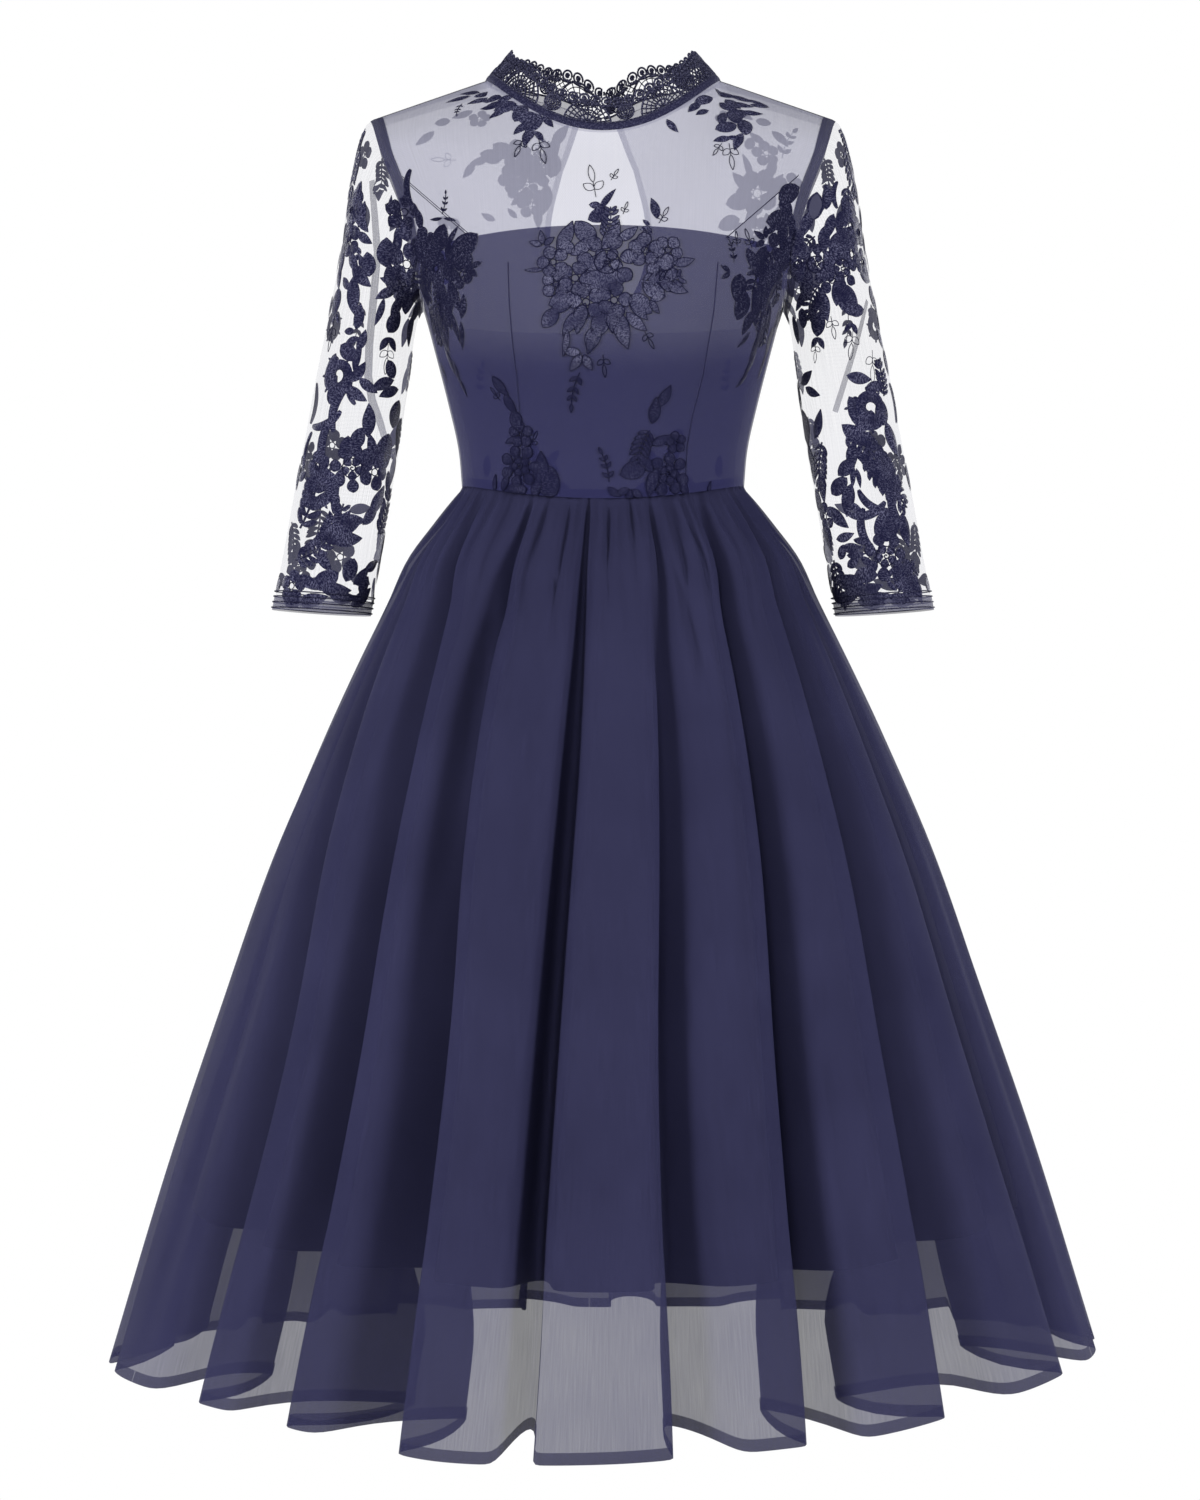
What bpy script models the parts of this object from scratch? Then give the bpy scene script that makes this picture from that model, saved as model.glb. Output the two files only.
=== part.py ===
"""Cocktail dress, standing open as if worn: a lace stand collar, a sheer yoke over an opaque
bodice with princess seams, sheer three-quarter sleeves, a keyhole back, and a gathered chiffon
skirt over a shorter lining.

Metres, +Z up, -Y the front of the dress, +X the wearer's left.  The origin is the middle of
the line across the shoulders, where a wearer carries the dress.
"""

import math

import bmesh
import bpy
import numpy as np

# ---------------------------------------------------------------- driving dimensions (metres)

CHIFFON_WALL = 0.0010          # skirt chiffon
LINING_WALL = 0.0010
NET_WALL = 0.0010              # yoke overlay and sleeves
BODICE_WALL = 0.0015           # opaque bodice, two plies
LACE_WALL = 0.0015             # collar

SEAM_GAP = 0.0003              # between pieces that are sewn together
SEAM_HALF = 0.00030            # what each panel of a nearly flat seam gives up
RIDGE_HALF = 0.00055           # what it gives up along the ridge of the shoulder
SKIRT_SEAM_HALF = 0.00060      # what it gives up on the crest of a gather
ARMHOLE_TURNING = 0.0007       # the opaque bodice stops this short of the net's armhole edge
WAIST_GAP = 0.0010             # bodice to skirt along their middles: their walls lean apart
OVERLAY_EASE = 0.0005          # the overlay hangs this much freer than a seam
NET_OUT = BODICE_WALL / 2 + SEAM_GAP + NET_WALL / 2 + OVERLAY_EASE

WAIST_SIDE_Z = -0.3220         # waist seam at the side seams
WAIST_FRONT_DROP = 0.0150      # how much lower it lies at the centre front
WAIST_BACK_DROP = 0.0060

CHIFFON_LENGTH_Z = -1.0410     # where the chiffon's last row is measured from
HEM_VALLEY_LIFT = 0.0170       # the hem is this much higher in the bottom of a fold
LINING_HEM_SIDE_Z = -0.9080
LINING_HEM_FRONT_DROP = 0.0370

NECK_HALF_WIDTH = 0.0970       # collar seam
NECK_SIDE_Y = 0.0040
NECK_SIDE_Z = 0.0160
NECK_FRONT_REACH = 0.0820      # from the side neck point forward to the pit of the neck
NECK_FRONT_DROP = 0.0540
NECK_BACK_REACH = 0.0620
NECK_BACK_DROP = 0.0110
CLOSING_DIP = 0.0150           # the collar dips where its two ends meet at the back
CLOSING_DIP_SPREAD = 14.0      # degrees
CLOSING_DIP_TOP = 1.2          # the upper edge dips this much more than the seam

COLLAR_TOP_HALF_WIDTH = 0.0760
COLLAR_TOP_SIDE_Z = 0.0400
COLLAR_TOP_FRONT_REACH = 0.0690
COLLAR_TOP_FRONT_DROP = 0.0500
COLLAR_TOP_BACK_REACH = 0.0520
COLLAR_TOP_BACK_DROP = 0.0030
COLLAR_SEAM_RISE = 0.0015      # collar base above the neck edge of the yoke
REPEAT_DEGREES = 40.0          # one fan and one rosette of the lace
ROSETTE_DEGREES = 12.0         # where the front rosette sits
FAN_START = 0.13               # a fan's share of its repeat
FAN_END = 0.87
FAN_HOLES = 6
FAN_FOOT = 0.80                # spread of a fan's spokes at its foot, over that at its top
HOLE_SHARE = 0.74              # hole width over hole and bar
LACE_HEIGHTS = (0.0, 0.20, 0.43, 0.51, 0.76, 1.0)   # tape, spokes, ring, arcs, picot edge
OPEN_ROWS = (1, 3)             # the rows of the lace that are open between its cords
SCALLOP = 0.12                 # share of the collar's height that its scallops rise

SHOULDER_TIP_X = 0.1880
SHOULDER_TIP_Z = -0.0154
CHEST_PULL = 0.75              # how far the chest's slope carries up towards the shoulder
SHOULDER_FALL = 0.35           # slope with which the cloth lands on the shoulder seam

SLEEVE_SEAM_TOP = (0.0008, 0.0, 0.0003)       # sleeve edge off the armhole, on the shoulder
SLEEVE_SEAM_UNDER = (0.0024, 0.0, 0.0)        # and under the arm
SLEEVE_HEAD_RINGS = 3.0        # rings in which the sleeve head becomes a round sleeve

BUTTON_RADIUS = 0.0050
BUTTON_THICKNESS = 0.0034
BUTTON_DEGREES = 176.0         # where it sits round the collar
BUTTON_HEIGHT = 0.42           # and up it


# ---------------------------------------------------------------- tables

class Table:
    """Rows of named columns, read on a smooth curve through the rows."""

    def __init__(self, names, rows):
        ordered = sorted(rows)
        self.keys = [row[0] for row in ordered]
        self.columns = {name: [row[i] for row in ordered] for i, name in enumerate(names)}

    def at(self, name, key):
        keys = self.keys
        values = self.columns[name]
        if key <= keys[0]:
            return values[0]
        if key >= keys[-1]:
            return values[-1]
        i = max(k for k in range(len(keys) - 1) if keys[k] <= key)
        step = keys[i + 1] - keys[i]
        t = (key - keys[i]) / step
        a = self.slope(values, i) * step
        b = self.slope(values, i + 1) * step
        near = (2 * t ** 3 - 3 * t ** 2 + 1) * values[i] + (t ** 3 - 2 * t ** 2 + t) * a
        far = (3 * t ** 2 - 2 * t ** 3) * values[i + 1] + (t ** 3 - t ** 2) * b
        return near + far

    def slope(self, values, i):
        keys = self.keys
        low = max(i - 1, 0)
        high = min(i + 1, len(keys) - 1)
        return (values[high] - values[low]) / (keys[high] - keys[low])


# Torso sections, from the waist (level 0) to the shoulder seam (level 10).  z_mid is the
# height at the centre, z_side at the side seam or armhole; each section is a superellipse
# quarter of half_width by depth, cut at edge_x; seam_x is where the princess seam crosses it.
TORSO_NAMES = ("level", "z_mid", "z_side", "half_width", "depth", "power", "edge_x", "seam_x")
TORSO_FRONT = Table(TORSO_NAMES, (
    (0, -0.3370, -0.3220, 0.1150, 0.0850, 2.20, 0.1150, 0.0670),
    (1, -0.3000, -0.2900, 0.1180, 0.0890, 2.20, 0.1180, 0.0680),
    (2, -0.2620, -0.2550, 0.1258, 0.0990, 2.25, 0.1258, 0.0730),
    (3, -0.2150, -0.2120, 0.1368, 0.1160, 2.40, 0.1368, 0.0810),
    (4, -0.1780, -0.1770, 0.1465, 0.1170, 2.50, 0.1465, 0.0860),
    (5, -0.1500, -0.1550, 0.1560, 0.1110, 2.50, 0.1487, 0.0890),
    (6, -0.1190, -0.1340, 0.1660, 0.1030, 2.50, 0.1490, 0.0910),
    (7, -0.0850, -0.0900, 0.1800, 0.0940, 2.50, 0.1580, 0.0930),
    (8, -0.0560, -0.0500, 0.2000, 0.0810, 2.50, 0.1740, 0.0945),
))
TORSO_BACK = Table(TORSO_NAMES, (
    (0, -0.3280, -0.3220, 0.1150, 0.0800, 2.20, 0.1150, 0.0600),
    (1, -0.2950, -0.2900, 0.1180, 0.0820, 2.20, 0.1180, 0.0610),
    (2, -0.2580, -0.2550, 0.1258, 0.0880, 2.25, 0.1258, 0.0660),
    (3, -0.2150, -0.2120, 0.1368, 0.0940, 2.35, 0.1368, 0.0740),
    (4, -0.1780, -0.1770, 0.1465, 0.0980, 2.40, 0.1465, 0.0800),
    (5, -0.1500, -0.1550, 0.1560, 0.0995, 2.40, 0.1487, 0.0840),
    (6, -0.1200, -0.1340, 0.1660, 0.1000, 2.45, 0.1490, 0.0870),
    (7, -0.0850, -0.0900, 0.1800, 0.0970, 2.50, 0.1590, 0.0900),
    (8, -0.0450, -0.0500, 0.2000, 0.0850, 2.50, 0.1750, 0.0935),
))
YOKE_LEVEL = 8
NECK_LEVEL = 10
BACK_TOP_LEVEL = 3.85          # upper edge of the opaque back
UNDERARM_LEVEL = 4

# Half-width of the keyhole in the sheer back, by torso level.
KEYHOLE = Table(("level", "half_width"), (
    (4.0, 0.0000),
    (4.2, 0.0000),
    (4.5, 0.0150),
    (5.0, 0.0290),
    (6.0, 0.0400),
    (7.0, 0.0400),
    (8.0, 0.0300),
    (9.0, 0.0200),
    (10.0, 0.0120),
))

# Sleeve rings from the armhole (0) to the cuff (10): the outermost and the innermost point of
# each ring in the front view, its half depth from front to back, and its centre line in y.
SLEEVE = Table(("ring", "outer_x", "outer_z", "inner_x", "inner_z", "half_depth", "middle_y"), (
    (0, 0.1880, -0.0154, 0.1508, -0.1766, 0.0560, 0.0000),
    (1, 0.1975, -0.0230, 0.1530, -0.1815, 0.0560, 0.0000),
    (2, 0.2050, -0.0480, 0.1550, -0.1880, 0.0550, 0.0000),
    (3, 0.2120, -0.0850, 0.1575, -0.2020, 0.0530, 0.0000),
    (4, 0.2175, -0.1270, 0.1600, -0.2230, 0.0510, 0.0000),
    (5, 0.2260, -0.1720, 0.1630, -0.2470, 0.0490, -0.0005),
    (6, 0.2380, -0.2320, 0.1675, -0.2780, 0.0465, -0.0015),
    (7, 0.2470, -0.2820, 0.1720, -0.3080, 0.0445, -0.0030),
    (8, 0.2570, -0.3340, 0.1785, -0.3450, 0.0420, -0.0045),
    (9, 0.2640, -0.3740, 0.1845, -0.3810, 0.0400, -0.0060),
    (10, 0.2735, -0.4240, 0.1930, -0.4290, 0.0375, -0.0075),
))

# Skirt sections by nominal height: half width of the lobes' crests, depth of the main folds,
# depth of the waist gathers, and how far the lining lies inside the chiffon.
SKIRT = Table(("z", "half_width", "fold_depth", "gather_depth", "lining_inset", "lining_side"), (
    (-0.3220, 0.1170, 0.0000, 0.0013, 0.0034, 0.0000),
    (-0.3340, 0.1275, 0.0018, 0.0032, 0.0062, 0.0000),
    (-0.3500, 0.1400, 0.0040, 0.0042, 0.0075, 0.0000),
    (-0.3820, 0.1630, 0.0085, 0.0034, 0.0075, 0.0005),
    (-0.4160, 0.1812, 0.0125, 0.0020, 0.0072, 0.0015),
    (-0.4650, 0.2075, 0.0170, 0.0008, 0.0072, 0.0030),
    (-0.5320, 0.2370, 0.0215, 0.0000, 0.0076, 0.0050),
    (-0.6310, 0.2756, 0.0275, 0.0000, 0.0082, 0.0080),
    (-0.7480, 0.3160, 0.0330, 0.0000, 0.0090, 0.0110),
    (-0.8800, 0.3600, 0.0375, 0.0000, 0.0100, 0.0135),
    (-1.0500, 0.4110, 0.0410, 0.0000, 0.0110, 0.0150),
))
WAIST_HALF_WIDTH = 0.1170
WAIST_FRONT_DEPTH = 0.0866
WAIST_BACK_DEPTH = 0.0816
FRONT_DEPTH_RATE = 0.885       # depth gained for each metre of half width gained
BACK_DEPTH_RATE = 0.830
SETTLE_Z = -0.4600             # below this the gathers have run together into the folds
LOBE_ROUNDING = 0.09           # a lobe's edges lie in from its crest by this share of a fold
GIRTH = 0.93                   # the skirt's mean radius over its half width
LINING_FOLD_EASE = 0.0035      # the lining's folds are this much wider than the chiffon's
LINING_EASE_FALL = 0.15        # from this far down the lining

# Height of the chiffon's hem on its lobes, by degrees round from the centre front: hung from
# the gathers, it rides a little higher over the wearer's left hip.
HEM = Table(("degrees", "z"), (
    (-180.0, -1.0520),
    (-130.0, -1.0500),
    (-92.0, -1.0450),
    (-66.0, -1.0400),
    (-44.0, -1.0440),
    (-30.0, -1.0550),
    (-17.0, -1.0660),
    (0.0, -1.0650),
    (17.0, -1.0580),
    (30.0, -1.0530),
    (52.0, -1.0360),
    (75.0, -1.0280),
    (95.0, -1.0290),
    (130.0, -1.0440),
    (180.0, -1.0520),
))

# The bottoms of the skirt's folds in front, in degrees round from the centre front towards
# the wearer's left, at four heights, with each fold's half width (metres at the hem) and depth
# as a share of the table above.  The back folds are spaced by a loop.
FRONT_FOLD_NAMES = ("waist", "hip", "thigh", "hem", "width", "depth")
FRONT_FOLDS = (
    (-76.0, -66.0, -51.5, -50.0, 0.0110, 0.90),
    (-55.0, -41.5, -37.0, -37.5, 0.0120, 1.00),
    (-28.0, -26.5, -24.0, -24.5, 0.0150, 1.05),
    (-5.5, -6.0, -8.0, -9.5, 0.0095, 1.00),
    (19.0, 15.0, 10.5, 10.0, 0.0130, 0.85),
    (40.0, 33.0, 26.0, 23.5, 0.0105, 1.00),
    (63.0, 52.0, 44.0, 41.0, 0.0125, 1.05),
    (80.0, 69.0, 64.5, 66.0, 0.0110, 0.95),
)
FOLD_HEIGHTS = (WAIST_SIDE_Z, SETTLE_Z, -0.7400, -1.0500)
RIGHT_SEAM_FOLD = (-104.0, -92.0, -82.0, -80.0, 0.0110, 0.90)
LEFT_SEAM_FOLD = (100.0, 92.0, 86.0, 84.0, 0.0110, 0.90)
BACK_LOBES = 13
BACK_FOLD_WIDTH = 0.0120
BACK_FOLD_SWAY = 1.6           # degrees that hand-gathered folds wander from even spacing
FOLD_AT_WAIST = 0.38           # a fold's width at the waist over that at the hem
SEAM_LOBE_STEPS = (0.55, 1.35) # columns on a fold's wall, in half widths from its bottom
LOBE_STEPS = (0.85,)
LONG_LOBE = 6                  # lobes of more columns than this use the first of the two

CHIFFON_STEPS = (0.0, 0.018, 0.045, 0.105, 0.205, 0.375, 0.660, 1.0)
LINING_STEPS = (0.0, 0.035, 0.110, 0.270, 0.580, 1.0)
TORSO_LEVELS = (0, 1, 2, 3, 4, 4.2, 4.5, 5, 6, 7, 8, 9, 10)
ARMHOLE_LEVELS = (10, 9, 8, 7, 6, 5, 4.5, 4.2, 4)
FRONT_BODICE_LEVELS = (0, 1, 2, 3, 4, 4.2, 4.5, 5, 6)
BACK_BODICE_LEVELS = (0, 1, 2, 3, BACK_TOP_LEVEL)
BACK_BODICE_COLUMNS = (0.0, 0.17, 0.33, 0.5, 0.67, 0.84, 1.0)
NECK_COLUMNS = (0.0, 1 / 12, 2 / 12, 3 / 12, 4 / 12, 5 / 12, 0.5)
SIDE_COLUMNS = (0.67, 0.84, 1.0)
SLEEVE_RINGS = (0, 1, 2, 3, 4, 5.5, 7, 8.5, 10)

MATERIALS = {
    "lace": ((0.030, 0.030, 0.075), 0.85),
    "net": ((0.075, 0.075, 0.130), 0.70),
    "bodice": ((0.045, 0.045, 0.095), 0.60),
    "chiffon": ((0.040, 0.040, 0.085), 0.65),
    "lining": ((0.035, 0.035, 0.075), 0.45),
    "button": ((0.030, 0.030, 0.070), 0.35),
}


# ---------------------------------------------------------------- scene and panel helpers

def clear_scene():
    for obj in list(bpy.data.objects):
        bpy.data.objects.remove(obj, do_unlink=True)


def make_material(name):
    colour, roughness = MATERIALS[name]
    material = bpy.data.materials.new(name)
    material.use_nodes = True
    shader = material.node_tree.nodes["Principled BSDF"]
    shader.inputs["Base Color"].default_value = (*colour, 1.0)
    shader.inputs["Roughness"].default_value = roughness
    shader.inputs["Metallic"].default_value = 0.0
    return material


def panel(collection, name, points, wall, material, holes=(), tube=False):
    """A cloth panel: a grid bent through rows of points, with its holes cut, as one wall."""
    rows = len(points)
    columns = len(points[0])
    cells = bmesh.new()
    bmesh.ops.create_grid(cells, x_segments=columns - 1, y_segments=rows - 1, size=1.0)
    cells.verts.ensure_lookup_table()
    cut = []
    for face in cells.faces:
        middle = face.calc_center_median()
        column = int((middle.x + 1) / 2 * (columns - 1))
        row = int((middle.y + 1) / 2 * (rows - 1))
        if (row, column) in holes:
            cut.append(face)
    bmesh.ops.delete(cells, geom=cut, context="FACES")
    for vertex in cells.verts:
        column = round((vertex.co.x + 1) / 2 * (columns - 1))
        row = round((vertex.co.y + 1) / 2 * (rows - 1))
        vertex.co = points[row][column]
    if tube:
        bmesh.ops.remove_doubles(cells, verts=cells.verts, dist=0.00001)
    mesh = bpy.data.meshes.new(name)
    cells.to_mesh(mesh)
    cells.free()
    mesh.shade_smooth()
    mesh.set_sharp_from_angle(angle=math.radians(50))
    mesh.materials.append(material)
    obj = bpy.data.objects.new(name, mesh)
    collection.objects.link(obj)
    thickness = obj.modifiers.new("wall", "SOLIDIFY")
    thickness.thickness = wall
    thickness.offset = 0.0
    return obj


def smoothstep(low, high, value):
    t = min(max((value - low) / (high - low), 0.0), 1.0)
    return t * t * (3 - 2 * t)


def mix(a, b, t):
    return a + (b - a) * t


# ---------------------------------------------------------------- neck and collar

def neck_point(degrees):
    """The collar seam, by angle from the centre front towards the wearer's left."""
    turn = math.radians(degrees)
    side = math.sin(turn)
    facing = math.cos(turn)
    x = NECK_HALF_WIDTH * side
    if facing >= 0:
        y = NECK_SIDE_Y - NECK_FRONT_REACH * facing
        z = NECK_SIDE_Z - NECK_FRONT_DROP * facing ** 2
    else:
        y = NECK_SIDE_Y - NECK_BACK_REACH * facing
        z = NECK_SIDE_Z - NECK_BACK_DROP * facing ** 2 - closing_dip(degrees)
    return np.array((x, y, z))


def closing_dip(degrees):
    away = 180.0 - abs(degrees)
    return CLOSING_DIP * math.exp(-(away / CLOSING_DIP_SPREAD) ** 2)


def collar_top_point(degrees):
    turn = math.radians(degrees)
    side = math.sin(turn)
    facing = math.cos(turn)
    x = COLLAR_TOP_HALF_WIDTH * side
    if facing >= 0:
        y = NECK_SIDE_Y - COLLAR_TOP_FRONT_REACH * facing
        z = COLLAR_TOP_SIDE_Z - COLLAR_TOP_FRONT_DROP * facing ** 2
    else:
        y = NECK_SIDE_Y - COLLAR_TOP_BACK_REACH * facing
        z = COLLAR_TOP_SIDE_Z - COLLAR_TOP_BACK_DROP * facing ** 2
        z -= CLOSING_DIP_TOP * closing_dip(degrees)
    return np.array((x, y, z))


def scallop(degrees):
    """Height of the collar's upper edge: full over the middle of a fan, lower between fans."""
    share = ((degrees - ROSETTE_DEGREES) / REPEAT_DEGREES) % 1.0
    in_fan = (share - FAN_START) / (FAN_END - FAN_START)
    if 0.0 < in_fan < 1.0:
        return 1.0 - SCALLOP + SCALLOP * math.sin(math.pi * in_fan)
    return 1.0 - SCALLOP


def collar_point(degrees, height):
    base = neck_point(degrees)
    top = collar_top_point(degrees)
    slant = top - base
    start = base + slant / np.linalg.norm(slant) * COLLAR_SEAM_RISE
    return mix(start, top, height * scallop(degrees))


def fan_lines():
    """Where the lace's upright lines cross one repeat, and which cells between are holes."""
    pitch = (FAN_END - FAN_START) / FAN_HOLES
    bar = pitch * (1 - HOLE_SHARE)
    lines = [FAN_START]
    holes = []
    for i in range(FAN_HOLES):
        left = FAN_START + i * pitch + bar / 2
        holes.append(len(lines))
        lines.append(left)
        lines.append(left + pitch * HOLE_SHARE)
    lines.append(FAN_END)
    return lines, holes


def collar_panel(collection, name, start, end, material):
    """A stretch of the collar from one angle to another, with the lace's open cells cut."""
    lines, fan_holes = fan_lines()
    columns = [start]
    open_columns = []
    repeat = math.floor((start - ROSETTE_DEGREES) / REPEAT_DEGREES)
    while ROSETTE_DEGREES + repeat * REPEAT_DEGREES < end:
        origin = ROSETTE_DEGREES + repeat * REPEAT_DEGREES
        for index, share in enumerate(lines):
            angle = origin + share * REPEAT_DEGREES
            if start + 0.5 < angle < end - 0.5:
                opens = index in fan_holes
                ends_inside = angle + REPEAT_DEGREES * HOLE_SHARE / FAN_HOLES < end - 1.0
                if opens and ends_inside:
                    open_columns.append(len(columns))
                columns.append(angle)
        repeat += 1
    columns.append(end)
    points = []
    for height in LACE_HEIGHTS:
        points.append([collar_point(fan_lean(angle, height, start, end), height)
                       for angle in columns])
    holes = {(row, column) for row in OPEN_ROWS for column in open_columns}
    return panel(collection, name, points, LACE_WALL, material, holes)


def fan_lean(degrees, height, start, end):
    """Spokes of a fan spread from its foot: they stand closer together near the base."""
    share = ((degrees - ROSETTE_DEGREES) / REPEAT_DEGREES) % 1.0
    middle = degrees - (share - 0.5) * REPEAT_DEGREES
    half_fan = (FAN_END - FAN_START) / 2 * REPEAT_DEGREES
    whole = start < middle - half_fan and middle + half_fan < end
    if degrees in (start, end) or not whole:
        return degrees
    return middle + (degrees - middle) * mix(FAN_FOOT, 1.0, height)


def make_collar(collection):
    """The lace strip, in three pieces: the front, and two backs that close with a button."""
    lace = make_material("lace")
    cut_left = ROSETTE_DEGREES + 2 * REPEAT_DEGREES
    cut_right = ROSETTE_DEGREES - 3 * REPEAT_DEGREES
    gap = math.degrees(SEAM_HALF / COLLAR_TOP_HALF_WIDTH)
    collar_panel(collection, "collar_front", cut_right + gap, cut_left - gap, lace)
    collar_panel(collection, "collar_back_left", cut_left + gap, 180.0 - gap, lace)
    collar_panel(collection, "collar_back_right", -180.0 + gap, cut_right - gap, lace)
    make_button(collection)


def make_button(collection):
    """A small domed button on the wearer's-left end of the collar, outside the lace."""
    seat = collar_point(BUTTON_DEGREES, BUTTON_HEIGHT)
    along = collar_point(BUTTON_DEGREES, BUTTON_HEIGHT + 0.2) - seat
    across = collar_point(BUTTON_DEGREES - 4.0, BUTTON_HEIGHT) - seat
    outward = np.cross(across, along)
    outward = outward / np.linalg.norm(outward)
    if outward[1] < 0:
        outward = -outward
    centre = seat + outward * (LACE_WALL / 2 + SEAM_GAP + BUTTON_THICKNESS / 2)
    bpy.ops.mesh.primitive_uv_sphere_add(segments=12, ring_count=8, radius=BUTTON_RADIUS)
    button = bpy.context.object
    button.name = "collar_button"
    button.data.name = "collar_button"
    flatten = BUTTON_THICKNESS / (2 * BUTTON_RADIUS)
    for vertex in button.data.vertices:
        vertex.co.z *= flatten
    button.rotation_euler = tilt_towards(outward)
    button.location = centre
    button.data.shade_smooth()
    button.data.materials.append(make_material("button"))
    for holder in button.users_collection:
        holder.objects.unlink(button)
    collection.objects.link(button)


def tilt_towards(direction):
    """Rotation that turns +Z to a direction."""
    lean = math.acos(direction[2])
    heading = math.atan2(direction[1], direction[0])
    return (0.0, lean, heading)


# ---------------------------------------------------------------- torso

def section_angle(share, half_width, power):
    return math.asin(min(share / half_width, 1.0) ** (power / 2))


def torso_column(table, level, across, start_x, out):
    """A point of a torso section; across runs 0 at the centre, 0.5 at the princess seam, and 1
    at the side seam or armhole."""
    half_width = table.at("half_width", level) + out
    depth = table.at("depth", level) + out
    power = table.at("power", level)
    edge = section_angle(table.at("edge_x", level) + out, half_width, power)
    seam = section_angle(table.at("seam_x", level), half_width, power)
    start = section_angle(start_x, half_width, power)
    if across <= 0.5:
        angle = mix(start, seam, across / 0.5)
    else:
        angle = mix(seam, edge, (across - 0.5) / 0.5)
    x = half_width * math.sin(angle) ** (2 / power)
    y = depth * max(math.cos(angle), 0.0) ** (2 / power)
    spread = min(x / (table.at("edge_x", level) + out), 1.0)
    z = mix(table.at("z_mid", level), table.at("z_side", level), spread ** 2)
    return np.array((x, y, z))


def shoulder_row_point(across, start_x, back):
    """The neck edge from the centre to the side neck point, then the shoulder seam."""
    if across <= 0.5:
        low = math.degrees(math.asin(start_x / NECK_HALF_WIDTH))
        degrees = mix(low, 90.0, across / 0.5)
        point = neck_point(180.0 - degrees if back else degrees)
    else:
        t = (across - 0.5) / 0.5
        inner = neck_point(90.0)
        outer = np.array((SHOULDER_TIP_X, NECK_SIDE_Y, SHOULDER_TIP_Z))
        point = mix(inner, outer, t)
    ridge = RIDGE_HALF * smoothstep(0.35, 0.5, across)
    point[1] += ridge if back else -ridge
    return point


def torso_point(level, across, back=False, out=0.0, start_x=0.0):
    """A point of the torso on the wearer's left; the right side is its mirror image."""
    table = TORSO_BACK if back else TORSO_FRONT
    facing = 1.0 if back else -1.0
    if level <= YOKE_LEVEL:
        point = torso_column(table, level, across, start_x, out)
        point[1] *= facing
        return point
    low = torso_column(table, YOKE_LEVEL, across, start_x, out)
    low[1] *= facing
    below = torso_column(table, YOKE_LEVEL - 1, across, start_x, out)
    below[1] *= facing
    high = shoulder_row_point(across, start_x, back)
    return shoulder_curve(below, low, high, (level - YOKE_LEVEL) / (NECK_LEVEL - YOKE_LEVEL))


def shoulder_curve(below, low, high, t):
    """From the chest over the shoulder: it leaves the chest in line and lands on the ridge."""
    reach = np.linalg.norm(high - low)
    leave = (low - below) / np.linalg.norm(low - below) * reach
    land = high - low
    land[2] *= SHOULDER_FALL
    a = (2 * t ** 3 - 3 * t ** 2 + 1) * low + (t ** 3 - 2 * t ** 2 + t) * leave * CHEST_PULL
    b = (3 * t ** 2 - 2 * t ** 3) * high + (t ** 3 - t ** 2) * land
    return a + b


def keyhole_x(level):
    return max(KEYHOLE.at("half_width", level), SEAM_HALF)


def mirrored(points):
    """The same rows on the wearer's right, with their columns in reverse order."""
    return [[point * np.array((-1.0, 1.0, 1.0)) for point in reversed(row)] for row in points]


def torso_rows(levels, across, back=False, out=0.0, keyhole=False):
    rows = []
    for level in levels:
        start_x = keyhole_x(level) if keyhole else (SEAM_HALF if back else 0.0)
        rows.append([torso_point(level, share, back, out, start_x) for share in across])
    return rows


def side_seam(rows, levels, across_index):
    """Pulls a column back from the side seam's plane, below the underarm, by half a seam."""
    for row, level in zip(rows, levels):
        if level <= UNDERARM_LEVEL:
            facing = 1.0 if row[0][1] > 0 else -1.0
            row[across_index][1] = facing * SEAM_HALF
    return rows


def nudge(rows, column, towards, amount=SEAM_HALF):
    """Moves one column along the row towards its neighbour, by half a seam or as said."""
    for row in rows:
        index = column % len(row)
        step = row[index + towards] - row[index]
        row[index] = row[index] + step / np.linalg.norm(step) * amount
    return rows


def make_bodice(collection):
    """The opaque bodice: a centre front between two princess seams, two side fronts, two backs."""
    cloth = make_material("bodice")
    levels = FRONT_BODICE_LEVELS
    half = torso_rows(levels, (0.0, 0.25, 0.5))
    centre = [left_half[:-1] + right_half
              for left_half, right_half in zip(mirrored(half), half)]
    nudge(centre, 0, 1)
    nudge(centre, -1, -1)
    panel(collection, "bodice_centre_front", centre, BODICE_WALL, cloth)
    side = side_seam(torso_rows(levels, (0.5,) + SIDE_COLUMNS), levels, -1)
    nudge(side, 0, 1)
    above_underarm = [row for row, level in zip(side, levels) if level >= UNDERARM_LEVEL]
    nudge(above_underarm, -1, -1, ARMHOLE_TURNING)
    panel(collection, "bodice_side_front_left", side, BODICE_WALL, cloth)
    panel(collection, "bodice_side_front_right", mirrored(side), BODICE_WALL, cloth)
    back = torso_rows(BACK_BODICE_LEVELS, BACK_BODICE_COLUMNS, back=True)
    back = side_seam(back, BACK_BODICE_LEVELS, -1)
    panel(collection, "bodice_back_left", back, BODICE_WALL, cloth)
    panel(collection, "bodice_back_right", mirrored(back), BODICE_WALL, cloth)


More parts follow.
